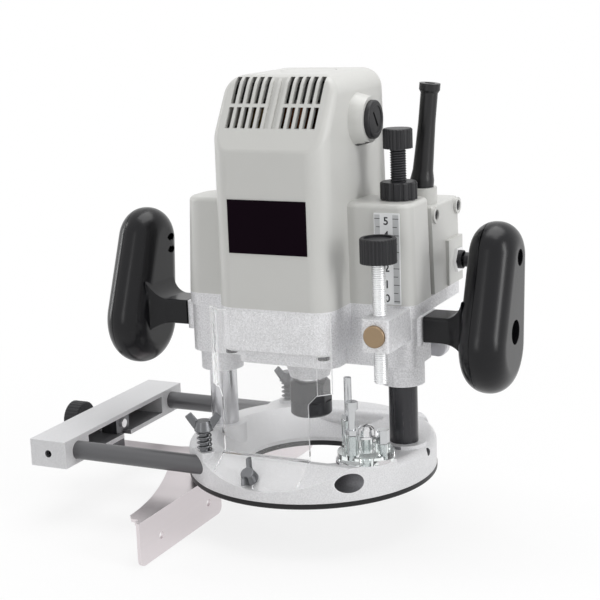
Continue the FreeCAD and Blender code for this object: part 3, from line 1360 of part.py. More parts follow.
def handle_arm(side):
    inner_face = handle_x - handle_thickness / 2
    a0, a1 = sorted((side * arm_start_x, side * (inner_face + 2)))
    arm = block(a0, a1, -arm_half_width, arm_half_width, arm_bottom, arm_top)
    arm = round_edges(arm, 2.0, lambda e: e.BoundBox.XLength > 5)
    sections = [arm_section(side * (inner_face - arm_flare), arm_half_width - 0.5, arm_bottom + 0.5, arm_top - 0.5),
                arm_section(side * (inner_face - arm_flare / 3), arm_half_width + arm_flare_spread / 4,
                            arm_bottom - arm_flare_spread / 4, arm_top + arm_flare_rise / 4),
                arm_section(side * (inner_face + 1), arm_half_width + arm_flare_spread,
                            arm_bottom - arm_flare_spread, arm_top + arm_flare_rise)]
    return arm, Part.makeLoft(sections, True, False)


def make_handle(name, side):
    solid = handle_form(side, 0)
    hollow = handle_form(side, handle_wall)
    arm, flare = handle_arm(side)
    seam = side * handle_x - handle_seam
    inner_room = block(min(0, seam), max(0, seam), -beyond, beyond, 0, beyond)
    outer_room = block(min(seam, side * beyond), max(seam, side * beyond), -beyond, beyond, 0, beyond)
    shell = solid.cut(hollow)
    posts = []
    holes = []
    outer_face = handle_x + handle_thickness / 2
    seat = outer_face - handle_hole_depth
    for (y, z), hole_radius in zip(handle_screw_places(), handle_hole_radius):
        boss = bar(hole_radius + 1.8, vec(side * (outer_face - handle_thickness + 1), y, z),
                   vec(side * (outer_face - 1), y, z))
        posts.append(boss.common(solid))
        holes.append(bar(hole_radius, vec(side * seat, y, z), vec(side * (outer_face + 1), y, z)))
        holes.append(bar(case_screw_radius, vec(side * (seat - case_screw_length), y, z), vec(side * seat, y, z)))
    tang_room = block(min(side * (arm_start_x - 1), side * tang_end_x), max(side * (arm_start_x - 1), side * tang_end_x),
                      -tang_half_width, tang_half_width, tang_bottom(), tang_bottom() + tang_height)
    inner = fuse(shell.common(inner_room), arm, flare, *[p.common(inner_room) for p in posts])
    if side < 0:
        holes += crescents(-outer_face + handle_thickness)
    save(name + "_handle_inner", inner.cut([tang_room] + holes))
    outer = fuse(shell.common(outer_room), *[p.common(outer_room) for p in posts]).cut(holes)
    save(name + "_handle_outer", outer)


def crescents(face):
    """The two curved slots cut through the inner face of the left handle."""
    x0, x1 = face - handle_wall - 0.5, face + 1
    round_slot = bar(crescent_outer, vec(x0, crescent_y, crescent_z), vec(x1, crescent_y, crescent_z)).cut(
        bar(crescent_inner, vec(x0, crescent_y, crescent_z), vec(x1, crescent_y, crescent_z)))
    spread = 2 * crescent_outer * math.tan(math.radians(crescent_angle))
    slots = []
    for way in (-1, 1):
        wedge = prism([vec(x0, crescent_y, crescent_z),
                       vec(x0, crescent_y - spread, crescent_z + way * 2 * crescent_outer),
                       vec(x0, crescent_y + spread, crescent_z + way * 2 * crescent_outer)], vec(x1 - x0, 0, 0))
        slots.append(round_slot.common(wedge))
    return slots


def case_screw(direction, seat):
    """A pan-head screw with its head's underside at the seat, driven against the direction."""
    head = bar(case_screw_head, seat, seat.add(direction * 1.8))
    shank = bar(case_screw_radius, seat.sub(direction * case_screw_length), seat)
    slot = bar(0.45, seat.add(direction * 1.8).add(vec(0, 0, -2.4)), seat.add(direction * 1.8).add(vec(0, 0, 2.4)))
    cross = bar(0.45, seat.add(direction * 1.8).add(vec(0, -2.4, 0)), seat.add(direction * 1.8).add(vec(0, 2.4, 0)))
    return fuse(head, shank).cut([slot, cross])


def make_case_screws():
    screws = []
    seat = handle_x + handle_thickness / 2 - handle_hole_depth
    for side in (-1, 1):
        for y, z in handle_screw_places():
            screws.append(case_screw(vec(side, 0, 0), vec(side * seat, y, z)))
    for y in cover_screw_y:
        screws.append(case_screw(vec(1, 0, 0), vec(cover_seat_x, y, cover_screw_z)))
    save("case_screws", *screws)


def make_housing_screws():
    screws = []
    for x, y in housing_screw_places():
        head = post(x, y, 3.6, bracket_floor - 2.4, bracket_floor)
        shank = post(x, y, 2.0, bracket_floor, bracket_top + 14)
        screws.append(fuse(head, shank))
    save("housing_screws", *screws)


os.makedirs("parts", exist_ok=True)
make_sub_base()
make_base_casting()
make_columns()
make_height_rod()
make_plunge_spring()
make_clamp_bolts()
make_chip_guard()
make_turret()
make_guide()
make_feed_screw()
make_fence()
make_motor_bracket()
make_bushes()
make_motor_housing()
make_plates()
make_switch_cover()
make_switch()
make_cord_guard()
make_stator()
make_armature()
make_fan()
make_bearings()
make_brushes()
make_collet()
make_stop_pole()
make_lock_lever()
make_handle("left", -1)
make_handle("right", 1)
make_case_screws()
make_housing_screws()
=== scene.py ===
import json
import math

import bpy
from mathutils import Matrix, Vector


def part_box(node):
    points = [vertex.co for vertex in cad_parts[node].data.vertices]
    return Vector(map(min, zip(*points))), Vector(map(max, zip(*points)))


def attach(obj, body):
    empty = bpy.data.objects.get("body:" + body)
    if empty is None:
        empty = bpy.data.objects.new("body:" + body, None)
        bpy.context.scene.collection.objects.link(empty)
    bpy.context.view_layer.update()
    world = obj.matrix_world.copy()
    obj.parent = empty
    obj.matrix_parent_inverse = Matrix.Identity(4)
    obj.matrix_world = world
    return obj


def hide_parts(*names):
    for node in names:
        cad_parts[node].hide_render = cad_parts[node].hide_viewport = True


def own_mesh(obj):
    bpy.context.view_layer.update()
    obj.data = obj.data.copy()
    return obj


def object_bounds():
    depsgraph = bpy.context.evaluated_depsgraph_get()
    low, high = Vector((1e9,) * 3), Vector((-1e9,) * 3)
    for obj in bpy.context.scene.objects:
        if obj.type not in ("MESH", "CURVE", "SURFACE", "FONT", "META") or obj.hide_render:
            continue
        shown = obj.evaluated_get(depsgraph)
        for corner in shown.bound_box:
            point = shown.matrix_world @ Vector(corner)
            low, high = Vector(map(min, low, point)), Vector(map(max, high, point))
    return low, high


# A plunge router with a straight guide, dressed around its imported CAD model.
# Sizes of pieces are in millimetres and meet MM where Blender takes them. Depths of surface marks,
# the camera, the lamps and the floor are in metres.
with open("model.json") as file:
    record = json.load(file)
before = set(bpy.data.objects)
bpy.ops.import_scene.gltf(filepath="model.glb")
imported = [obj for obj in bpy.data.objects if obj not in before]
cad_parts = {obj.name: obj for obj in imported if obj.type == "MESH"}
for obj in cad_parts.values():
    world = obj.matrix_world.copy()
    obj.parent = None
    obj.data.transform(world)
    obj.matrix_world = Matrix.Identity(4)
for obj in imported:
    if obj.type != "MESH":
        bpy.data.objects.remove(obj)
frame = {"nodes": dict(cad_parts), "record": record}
frame_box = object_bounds()
NODES = frame["nodes"]
BEHAVIOUR = frame["record"]["behaviour"]
NODE_BODY = {node: body for body, nodes in BEHAVIOUR["bodies"].items() for node in nodes}
MM = 0.001
bpy.ops.object.select_all(action="DESELECT")


# ---- Shader nodes ----
# Sockets of a colour mix, counted from 0
MIX_SHARE, MIX_FIRST, MIX_SECOND, MIX_RESULT = 0, 6, 7, 2


class ShaderTree:
    """Shader nodes that are being put together."""

    def __init__(self, tree):
        self.tree = tree

    def feed(self, socket, value):
        """Give a socket another node's output, or a plain value."""
        if isinstance(value, bpy.types.NodeSocket):
            self.tree.links.new(value, socket)
        else:
            socket.default_value = value

    def node(self, kind, settings=None, **inputs):
        """A node with its settings, and its inputs by name with an underscore for each space."""
        node = self.tree.nodes.new(kind)
        for key, value in (settings or {}).items():
            setattr(node, key, value)
        for key, value in inputs.items():
            self.feed(node.inputs[key.replace("_", " ")], value)
        return node

    def maths(self, operation, a, b, clamp=False):
        node = self.node("ShaderNodeMath", {"operation": operation, "use_clamp": clamp})
        self.feed(node.inputs[0], a)
        self.feed(node.inputs[1], b)
        return node.outputs[0]

    def mix_colours(self, share, first, second):
        """From the first colour to the second as the share runs 0 to 1."""
        mix = self.node("ShaderNodeMix", {"data_type": "RGBA"})
        self.feed(mix.inputs[MIX_SHARE], share)
        self.feed(mix.inputs[MIX_FIRST], first)
        self.feed(mix.inputs[MIX_SECOND], second)
        return mix.outputs[MIX_RESULT]

    def mix_shaders(self, share, first, second):
        mix = self.node("ShaderNodeMixShader", Fac=share)
        self.feed(mix.inputs[1], first)
        self.feed(mix.inputs[2], second)
        return mix.outputs[0]

    def seen_directly(self):
        """1 where a ray is the camera's own, or came by gloss or through glass."""
        rays = self.node("ShaderNodeLightPath").outputs
        seen = rays["Is Camera Ray"]
        for kind in ("Is Glossy Ray", "Is Transmission Ray"):
            seen = self.maths("ADD", seen, rays[kind], clamp=True)
        return seen


# ---- Effects shared by the finishes ----
WEAR_GAIN = 6.0


class Effect(ShaderTree):
    """A shader node group with a vector and some numbers going in, and masks or heights coming out."""

    def __init__(self, name, numbers, masks):
        super().__init__(bpy.data.node_groups.new(name, "ShaderNodeTree"))
        sockets = self.tree.interface
        sockets.new_socket("Vector", in_out="INPUT", socket_type="NodeSocketVector")
        for label, value in numbers.items():
            sockets.new_socket(label, in_out="INPUT", socket_type="NodeSocketFloat").default_value = value
        for label in masks:
            sockets.new_socket(label, in_out="OUTPUT", socket_type="NodeSocketFloat")
        self.given = self.node("NodeGroupInput").outputs
        self.result = self.node("NodeGroupOutput").inputs

    def noise(self, scale, detail, **more):
        noise = self.node("ShaderNodeTexNoise", Vector=self.given["Vector"], Scale=scale, Detail=detail,
                          **more)
        return noise.outputs["Fac"]

    def give(self, label, value):
        self.feed(self.result[label], value)


def make_cast_skin():
    """Sand-cast metal: light and dark grains over a slow mottle."""
    skin = Effect("cast_skin", {"Grain": 900.0}, ["Speckle", "Mottle", "Height"])
    grain = skin.noise(skin.given["Grain"], detail=2.0, Roughness=0.6)
    pits = skin.node("ShaderNodeTexVoronoi", Vector=skin.given["Vector"], Scale=skin.given["Grain"])
    speckle = skin.node("ShaderNodeMapRange", Value=grain, From_Min=0.34, From_Max=0.66)
    shallow_pits = skin.maths("MULTIPLY", pits.outputs["Distance"], 0.5)
    skin.give("Speckle", speckle.outputs[0])
    skin.give("Mottle", skin.noise(scale=38.0, detail=3.0))
    skin.give("Height", skin.maths("ADD", grain, shallow_pits))
    return skin.tree


def make_moulded_skin():
    """Spark-eroded mould texture with faint flow marks."""
    skin = Effect("moulded_skin", {"Grain": 1500.0}, ["Flow", "Height"])
    skin.give("Flow", skin.noise(scale=16.0, detail=4.0, Distortion=0.6))
    skin.give("Height", skin.noise(skin.given["Grain"], detail=2.0))
    return skin.tree


def make_drawn_lines():
    """Fine lines left by grinding or drawing, stretched by the scale in the vector."""
    marks = Effect("drawn_lines", {"Fineness": 400.0}, ["Lines", "Blotch"])
    marks.give("Lines", marks.noise(marks.given["Fineness"], detail=4.0, Roughness=0.7))
    marks.give("Blotch", marks.noise(scale=14.0, detail=3.0))
    return marks.tree


def make_edge_wear():
    """Rubbed edges: a broken mask where a corner turns within the given radius."""
    edge = Effect("edge_wear", {"Radius": 0.0006, "Amount": 1.0}, ["Wear"])
    rounded = edge.node("ShaderNodeBevel", {"samples": 4}, Radius=edge.given["Radius"])
    surface = edge.node("ShaderNodeNewGeometry")
    agreement = edge.node("ShaderNodeVectorMath", {"operation": "DOT_PRODUCT"})
    edge.feed(agreement.inputs[0], rounded.outputs[0])
    edge.feed(agreement.inputs[1], surface.outputs["Normal"])
    turned = edge.maths("SUBTRACT", 1.0, agreement.outputs["Value"])
    broken = edge.maths("MULTIPLY", turned, edge.noise(scale=220.0, detail=3.0))
    gain = edge.maths("MULTIPLY", edge.given["Amount"], WEAR_GAIN)
    edge.give("Wear", edge.maths("MULTIPLY", broken, gain, clamp=True))
    return edge.tree


CAST_SKIN = make_cast_skin()
MOULDED_SKIN = make_moulded_skin()
DRAWN_LINES = make_drawn_lines()
EDGE_WEAR = make_edge_wear()


# ---- Finishes ----
FINISH = {}
BARE_METAL = (0.88, 0.88, 0.89, 1.0)


class Finish(ShaderTree):
    """A material with one Principled shader, fed by the shared effects and kept by its name."""

    def __init__(self, name, colour, roughness, metallic=0.0, **shader):
        self.material = bpy.data.materials.new(name)
        self.material.use_nodes = True
        super().__init__(self.material.node_tree)
        self.colour = colour
        self.shader = self.tree.nodes["Principled BSDF"]
        self.set("Base Color", (*colour, 1.0))
        self.set("Roughness", roughness)
        self.set("Metallic", metallic)
        for key, value in shader.items():
            self.set(key.replace("_", " "), value)
        self.place = self.node("ShaderNodeTexCoord").outputs["Object"]
        FINISH[name] = self.material

    def set(self, socket, value):
        self.feed(self.shader.inputs[socket], value)

    def effect(self, group, vector, **numbers):
        return self.node("ShaderNodeGroup", {"node_tree": group}, Vector=vector, **numbers).outputs

    def worn_edges(self, radius, amount):
        return self.effect(EDGE_WEAR, self.place, Radius=radius, Amount=amount)["Wear"]

    def stretched(self, stretch):
        return self.node("ShaderNodeMapping", Vector=self.place, Scale=stretch).outputs[0]

    def shade(self, times, plus=0.0):
        """The finish's own colour, made lighter or darker."""
        return tuple(min(1.0, part * times + plus) for part in self.colour) + (1.0,)

    def tint(self, mask, contrast):
        """The finish's own colour, darker where the mask is low and lighter where it is high."""
        return self.mix_colours(mask, self.shade(1.0 - contrast), self.shade(1.0 + contrast))

    def add_masks(self, first, second, first_share=0.5):
        """Two masks added in shares that make one."""
        return self.maths("ADD", self.maths("MULTIPLY", first, first_share),
                          self.maths("MULTIPLY", second, 1.0 - first_share))

    def roughen(self, mask, low, high):
        spread = self.node("ShaderNodeMapRange", Value=mask, To_Min=low, To_Max=high)
        self.set("Roughness", spread.outputs[0])

    def bump(self, height, depth):
        self.set("Normal", self.node("ShaderNodeBump", Height=height, Distance=depth).outputs[0])


def cast_metal(name, colour, roughness, metallic, grain, contrast, depth, wear):
    cast = Finish(name, colour, roughness, metallic)
    skin = cast.effect(CAST_SKIN, cast.place, Grain=grain)
    paint = cast.tint(cast.add_masks(skin["Speckle"], skin["Mottle"], 0.6), contrast)
    worn = cast.worn_edges(radius=0.0012, amount=wear)
    cast.set("Base Color", cast.mix_colours(worn, paint, BARE_METAL))
    cast.roughen(skin["Speckle"], roughness + 0.1, roughness - 0.1)
    cast.bump(skin["Height"], depth)


def moulded_plastic(name, colour, roughness, grain, depth, wear=0.0, flow=0.06, **shader):
    plastic = Finish(name, colour, roughness, **shader)
    skin = plastic.effect(MOULDED_SKIN, plastic.place, Grain=grain)
    paint = plastic.tint(skin["Flow"], flow)
    worn = plastic.worn_edges(radius=0.0008, amount=wear)
    plastic.set("Base Color", plastic.mix_colours(worn, paint, plastic.shade(times=1.35, plus=0.02)))
    plastic.roughen(skin["Flow"], roughness - 0.06, roughness + 0.06)
    plastic.bump(skin["Height"], depth)


def worked_metal(name, colour, roughness, depth=0.00001, wear=0.3, contrast=0.12, metallic=1.0,
                 stretch=(1, 1, 1)):
    """Ground, drawn, plated or turned metal. A small number in stretch draws its lines out that way."""
    metal = Finish(name, colour, roughness, metallic)
    marks = metal.effect(DRAWN_LINES, metal.stretched(stretch), Fineness=400.0)
    paint = metal.tint(metal.add_masks(marks["Lines"], marks["Blotch"]), contrast)
    worn = metal.worn_edges(radius=0.0006, amount=wear)
    metal.set("Base Color", metal.mix_colours(worn, paint, metal.shade(times=1.4, plus=0.1)))
    metal.roughen(marks["Lines"], roughness - 0.08, roughness + 0.08)
    metal.bump(marks["Lines"], depth)


def clear_plastic(name, colour, roughness, clearness, bend, shade=0.08):
    """Clear sheet or block: lamps reach through it, and it throws only a faint shadow."""
    clear = Finish(name, colour, roughness, Transmission_Weight=clearness, IOR=bend)
    marks = clear.effect(DRAWN_LINES, clear.place, Fineness=90.0)
    clear.roughen(marks["Blotch"], roughness * 0.5, roughness * 2.0)
    clear.bump(marks["Lines"], depth=0.000004)
    rays = clear.node("ShaderNodeLightPath").outputs
    light_ray = clear.maths("ADD", rays["Is Shadow Ray"], rays["Is Diffuse Ray"], clamp=True)
    let_through = clear.maths("MULTIPLY", light_ray, 1.0 - shade)
    clear.set("Alpha", clear.maths("SUBTRACT", 1.0, let_through))


# Castings and painted metal
cast_metal("bracket_cast", (0.7, 0.7, 0.715), roughness=0.44, metallic=0.25, grain=1050.0,
           contrast=0.26, depth=0.00016, wear=0.5)
cast_metal("base_cast", (0.67, 0.67, 0.68), roughness=0.42, metallic=0.25, grain=1300.0,
           contrast=0.14, depth=0.00008, wear=0.5)
# Painted shade: a dark grey for the inside of the bores in the base
cast_metal("bore_painted_shade", (0.16, 0.16, 0.17), roughness=0.5, metallic=0.2, grain=1300.0,
           contrast=0.2, depth=0.00005, wear=0.2)
# Painted shade: a dark grey for the inside of the guide holder's channel
cast_metal("holder_channel_painted_shade", (0.2, 0.2, 0.21), roughness=0.5, metallic=0.2, grain=1600.0,
           contrast=0.1, depth=0.00005, wear=0.2)
cast_metal("holder_paint", (0.62, 0.62, 0.63), roughness=0.5, metallic=0.2, grain=1600.0,
           contrast=0.1, depth=0.00005, wear=0.5)

# Mouldings, rubber and print
moulded_plastic("grey_housing", (0.57, 0.57, 0.55), roughness=0.34, grain=2600.0, depth=0.00003,
                wear=0.1, flow=0.03, Specular_IOR_Level=0.38)
# Painted shade: near-black for the inside of the motor housing, seen through the vents
moulded_plastic("housing_inside_painted_shade", (0.05, 0.05, 0.048), roughness=0.6, grain=1400.0, depth=0.00004)
moulded_plastic("black_handle", (0.0065, 0.0065, 0.0078), roughness=0.24, grain=1800.0, depth=0.00001,
                wear=0.1, flow=0.25, Specular_IOR_Level=0.27)
# Painted shade: near-black with no reflection for the seam line on the handles
moulded_plastic("seam_painted_shade", (0.002, 0.002, 0.002), roughness=0.8, grain=1800.0, depth=0.00001,
                Specular_IOR_Level=0.0)
moulded_plastic("black_knob", (0.016, 0.016, 0.018), roughness=0.42, grain=1500.0, depth=0.00003,
                wear=0.3, flow=0.2, Specular_IOR_Level=0.32)
moulded_plastic("base_bakelite", (0.01, 0.01, 0.011), roughness=0.4, grain=900.0, depth=0.00002,
                wear=0.2, flow=0.2, Specular_IOR_Level=0.3)
moulded_plastic("cord_rubber", (0.009, 0.009, 0.01), roughness=0.34, grain=2200.0, depth=0.00002,
                wear=0.12, flow=0.2, Specular_IOR_Level=0.4)
moulded_plastic("brush_carbon", (0.02, 0.02, 0.02), roughness=0.7, grain=1200.0, depth=0.00004)
moulded_plastic("label_sheet", (0.0045, 0.0012, 0.004), roughness=0.5, grain=2600.0, depth=0.00001,
                wear=0.05, flow=0.2, Specular_IOR_Level=0.03)
moulded_plastic("scale_sheet", (0.8, 0.81, 0.82), roughness=0.35, grain=2600.0, depth=0.00001,
                wear=0.1, flow=0.03)
moulded_plastic("scale_ink", (0.02, 0.02, 0.024), roughness=0.5, grain=2600.0, depth=0.00001)
moulded_plastic("scale_edge", (0.52, 0.53, 0.54), roughness=0.34, grain=2600.0, depth=0.00001)

# Clear plastic
clear_plastic("chip_clear", (0.99, 0.99, 0.99), roughness=0.015, clearness=0.93, bend=1.2)
clear_plastic("guard_edge", (0.97, 0.98, 0.99), roughness=0.3, clearness=0.1, bend=1.3, shade=0.2)
clear_plastic("turret_clear", (0.9, 0.94, 0.93), roughness=0.02, clearness=1.0, bend=1.45)

# Steel, zinc, bronze and copper
worked_metal("ground_steel", (0.6, 0.6, 0.62), roughness=0.24, stretch=(1, 1, 0.05))
worked_metal("black_column", (0.03, 0.03, 0.034), roughness=0.26, metallic=0.3, stretch=(1, 1, 0.05))
worked_metal("guide_rod", (0.115, 0.115, 0.12), roughness=0.38, metallic=0.5, stretch=(0.05, 1, 1))
worked_metal("bright_steel", (0.7, 0.7, 0.71), roughness=0.24, depth=0.000005)
worked_metal("bright_plate", (0.86, 0.86, 0.87), roughness=0.12, depth=0.000003, wear=0.2, contrast=0.05)
worked_metal("bolt_steel", (0.15, 0.153, 0.16), roughness=0.36, depth=0.00002, wear=0.5, contrast=0.25)
worked_metal("lever_zinc", (0.55, 0.55, 0.57), roughness=0.3, depth=0.00002, wear=0.5, contrast=0.15)
worked_metal("dark_oxide", (0.04, 0.04, 0.044), roughness=0.36, wear=0.5, contrast=0.2, metallic=0.6)
worked_metal("zinc_thread", (0.84, 0.845, 0.85), roughness=0.42, depth=0.000005, wear=0.2, contrast=0.06)
worked_metal("stop_bolt_steel", (0.56, 0.57, 0.58), roughness=0.22, depth=0.000005, wear=0.2, contrast=0.1)
worked_metal("button_bronze", (0.3, 0.22, 0.14), roughness=0.42, wear=0.4, contrast=0.14,
             stretch=(1, 0.1, 1))
worked_metal("plated_sheet", (0.72, 0.67, 0.685), roughness=0.34, depth=0.000006, contrast=0.08,
             stretch=(1, 0.08, 1))
worked_metal("bush_bronze", (0.42, 0.28, 0.12), roughness=0.4)
worked_metal("winding_copper", (0.2, 0.07, 0.03), roughness=0.4, depth=0.00008, stretch=(1, 1, 6))
worked_metal("lamination_iron", (0.12, 0.12, 0.125), roughness=0.5, depth=0.00005, stretch=(1, 1, 14))


# ---- Modelling helpers ----
WELD = 0.000002
# Degrees: an edge that turns more than CREASE is eased and shaded sharp, and faces that turn less than
# LEVEL_ENOUGH become one
CREASE, LEVEL_ENOUGH = 34.0, 0.6
# Turns that leave a primitive level, stand it up facing forward, or lay its axis along X
LEVEL, UPRIGHT, SIDEWAYS = (0, 0, 0), (math.pi / 2, 0, 0), (0, math.pi / 2, 0)


def dress(piece, finish):
    piece.data.materials.clear()
    piece.data.materials.append(FINISH[finish])


def dress_faces(piece, finish, wanted):
    """A second finish on the faces that are wanted."""
    piece.data.materials.append(FINISH[finish])
    for face in piece.data.polygons:
        if wanted(face):
            face.material_index = 1


def ends(node, axis):
    """Where a node starts and stops along one axis."""
    low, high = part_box(node)
    return low[axis] / MM, high[axis] / MM


def middle(node):
    low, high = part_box(node)
    return [(a + b) / 2 / MM for a, b in zip(low, high)]


def stand_for(piece, node):
    """Ride on a node's body, in the node's place, with the node hidden."""
    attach(piece, NODE_BODY[node])
    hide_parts(node)


def pick(piece):
    """Select one piece and nothing else."""
    bpy.ops.object.select_all(action="DESELECT")
    piece.select_set(True)
    bpy.context.view_layer.objects.active = piece


def start_from(primitive, **settings):
    """A new primitive, with nothing else selected."""
    bpy.ops.object.select_all(action="DESELECT")
    primitive(**settings)
    return bpy.context.object


def open_mesh(piece):
    """Edit mode, with the selection as it was left."""
    pick(piece)
    bpy.ops.object.mode_set(mode="EDIT")


def open_whole_mesh(piece):
    open_mesh(piece)
    bpy.ops.mesh.select_all(action="SELECT")


def close_mesh():
    bpy.ops.object.mode_set(mode="OBJECT")


def select_nothing_in(piece, kind):
    """Ready a mesh for code that selects its vertices or edges one by one."""
    open_mesh(piece)
    bpy.ops.mesh.select_mode(type=kind)
    bpy.ops.mesh.select_all(action="DESELECT")
    close_mesh()


def modify(piece, kind, **settings):
    """Add one modifier and apply it."""
    pick(piece)
    modifier = piece.modifiers.new(kind, kind)
    for key, value in settings.items():
        setattr(modifier, key, value)
    bpy.ops.object.modifier_apply(modifier=modifier.name)


def keep_place(piece):
    """Put a piece's place, turn and size into its mesh."""
    pick(piece)
    bpy.ops.object.transform_apply(location=True, rotation=True, scale=True)


def settle(piece):
    """Put a piece's place into its mesh, close its seams and turn its faces outward."""
    keep_place(piece)
    open_whole_mesh(piece)
    bpy.ops.mesh.remove_doubles(threshold=WELD)
    bpy.ops.mesh.normals_make_consistent(inside=False)
    close_mesh()


def ease_edges(piece, width, angle):
    modify(piece, "BEVEL", width=width * MM, segments=2, limit_method="ANGLE",
           angle_limit=math.radians(angle), harden_normals=False, use_clamp_overlap=True)


def smooth(piece, angle):
    """Smooth shading up to an angle, with large faces left flat."""
    pick(piece)
    bpy.ops.object.shade_smooth_by_angle(angle=math.radians(angle))
    modify(piece, "WEIGHTED_NORMAL", keep_sharp=True)


def bevel_edges(piece, wanted, width, segments):
    """Bevel the edges that are wanted, by their middle and the turn between their two faces."""
    select_nothing_in(piece, "EDGE")
    mesh = piece.data
    normals = {}
    for face in mesh.polygons:
        for key in face.edge_keys:
            normals.setdefault(key, []).append(face.normal)
    for edge in mesh.edges:
        start, end = (mesh.vertices[index].co for index in edge.vertices)
        sides = normals.get(edge.key, ())
        edge.select = len(sides) == 2 and wanted((start + end) / 2 / MM, sides[0].angle(sides[1], 0))
    open_mesh(piece)
    bpy.ops.mesh.bevel(offset=width * MM, segments=segments, profile=0.5, clamp_overlap=True)
    close_mesh()


def sink_ring(piece, place, radius, thickness, sides, turn):
    """Cut a round groove, half as deep as the ring is thick."""
    ring = start_from(bpy.ops.mesh.primitive_torus_add, major_radius=radius * MM,
                      minor_radius=thickness / 2 * MM, major_segments=64, minor_segments=sides,
                      location=[c * MM for c in place], rotation=turn)
    modify(piece, "BOOLEAN", operation="DIFFERENCE", object=ring, solver="EXACT")
    bpy.data.objects.remove(ring)


def look_across(piece, face, way, skip):
    """How far it is from a face to the piece's next wall, outward for way 1 and inward for way -1."""
    start = face.center + face.normal * way * skip * MM
    hit, spot, _, _ = piece.ray_cast(start, face.normal * way)
    return (spot - start).length / MM if hit else 0.0


def join(name, pieces):
    pick(pieces[0])
    for piece in pieces[1:]:
        piece.select_set(True)
    bpy.ops.object.join()
    pieces[0].name = name
    return pieces[0]


def copy_at(piece, place, stretch):
    """A copy with its own mesh, stretched sideways and moved to its place."""
    twin = bpy.data.objects.new(piece.name, piece.data.copy())
    bpy.context.scene.collection.objects.link(twin)
    twin.scale = (stretch, 1, 1)
    twin.location = Vector(place) * MM
    keep_place(twin)
    return twin


def thin_plate(place, width, height, thickness, finish):
    """An upright plate that faces forward, by its middle."""
    plate = start_from(bpy.ops.mesh.primitive_plane_add, size=1, location=[c * MM for c in place],
                       rotation=UPRIGHT)
    plate.scale = (width * MM, height * MM, 1)
    keep_place(plate)
    modify(plate, "SOLIDIFY", thickness=thickness * MM, offset=0)
    dress(plate, finish)
    return plate


def turned_piece(name, outline, finish, place, turn):
    """A round piece drawn out from a disc, one (radius, height) step at a time."""
    piece = start_from(bpy.ops.mesh.primitive_circle_add, vertices=32, radius=outline[0][0] * MM,
                       fill_type="NGON", location=(0, 0, outline[0][1] * MM))
    piece.name = name
    keep_place(piece)
    open_whole_mesh(piece)
    for (before, low), (radius, high) in zip(outline, outline[1:]):
        bpy.ops.mesh.extrude_region_move(TRANSFORM_OT_translate={"value": (0, 0, (high - low) * MM)})
        share = radius / before
        bpy.ops.transform.resize(value=(share, share, 1), center_override=(0, 0, high * MM))
    close_mesh()
    piece.rotation_euler = turn
    piece.location = Vector(place) * MM
    settle(piece)
    dress(piece, finish)
    return piece


def threaded_rod(name, node, at, crest, root, pitch, finish):
    """A rod with a real thread in place of a plain one: a tooth's outline wound up and cut off square."""
    low, high = ends(node, 2)
    middle_radius = (crest + root) / 2 * MM
    start_height = (low - pitch) * MM
    crest_share, crease = 0.3, 28
    steps_a_turn, spare_turns = 24, 3
    seam_weld = 0.00001
    rod = start_from(bpy.ops.mesh.primitive_plane_add, size=1, location=(middle_radius, 0, start_height),
                     rotation=UPRIGHT)
    rod.name = name
    rod.scale = ((crest - root) * MM, pitch * MM, 1)
    keep_place(rod)
    select_nothing_in(rod, "VERT")
    for vertex in rod.data.vertices:
        vertex.select = vertex.co.x > middle_radius
    open_mesh(rod)
    bpy.ops.transform.resize(value=(1, 1, crest_share), center_override=(crest * MM, 0, start_height))
    bpy.ops.mesh.select_all(action="INVERT")
    bpy.ops.mesh.delete(type="EDGE_FACE")
    close_mesh()
    modify(rod, "SCREW", axis="Z", angle=2 * math.pi, screw_offset=pitch * MM, steps=steps_a_turn,
           render_steps=steps_a_turn, iterations=int((high - low) / pitch) + spare_turns,
           use_smooth_shade=True)
    open_whole_mesh(rod)
    bpy.ops.mesh.remove_doubles(threshold=seam_weld)
    for level, clear in ((low, "clear_inner"), (high, "clear_outer")):
        bpy.ops.mesh.select_all(action="SELECT")
        bpy.ops.mesh.bisect(plane_co=(0, 0, level * MM), plane_no=(0, 0, 1), use_fill=True, **{clear: True})
    close_mesh()
    rod.location = (at[0] * MM, at[1] * MM, 0)
    settle(rod)
    pick(rod)
    bpy.ops.object.shade_smooth_by_angle(angle=math.radians(crease))
    dress(rod, finish)
    stand_for(rod, node)


def welded_copy(node, name, flatten):
    """A copy of a node's own mesh, its loose triangles merged into one skin, and into flat faces."""
    piece = bpy.data.objects.new(name, NODES[node].data.copy())
    bpy.context.scene.collection.objects.link(piece)
    open_whole_mesh(piece)
    bpy.ops.mesh.remove_doubles(threshold=WELD)
    bpy.ops.mesh.customdata_custom_splitnormals_clear()
    if flatten:
        bpy.ops.mesh.dissolve_limited(angle_limit=math.radians(LEVEL_ENOUGH))
    close_mesh()
    return piece


def eased_copy(node, width, finish):
    """A node's own shape with eased edges, standing for that node."""
    piece = welded_copy(node, node + "_eased", flatten=True)
    if width:
        ease_edges(piece, width, CREASE)
    smooth(piece, CREASE)
    dress(piece, finish)
    stand_for(piece, node)
    return piece


def forged_copy(node, finish, grain, passes):
    """A node's shape with the soft corners of a forging or small casting, standing for that node."""
    piece = welded_copy(node, node + "_forged", flatten=False)
    modify(piece, "REMESH", mode="VOXEL", voxel_size=grain * MM, use_smooth_shade=True)
    modify(piece, "SMOOTH", factor=0.5, iterations=passes)
    pick(piece)
    bpy.ops.object.shade_smooth()
    dress(piece, finish)
    stand_for(piece, node)


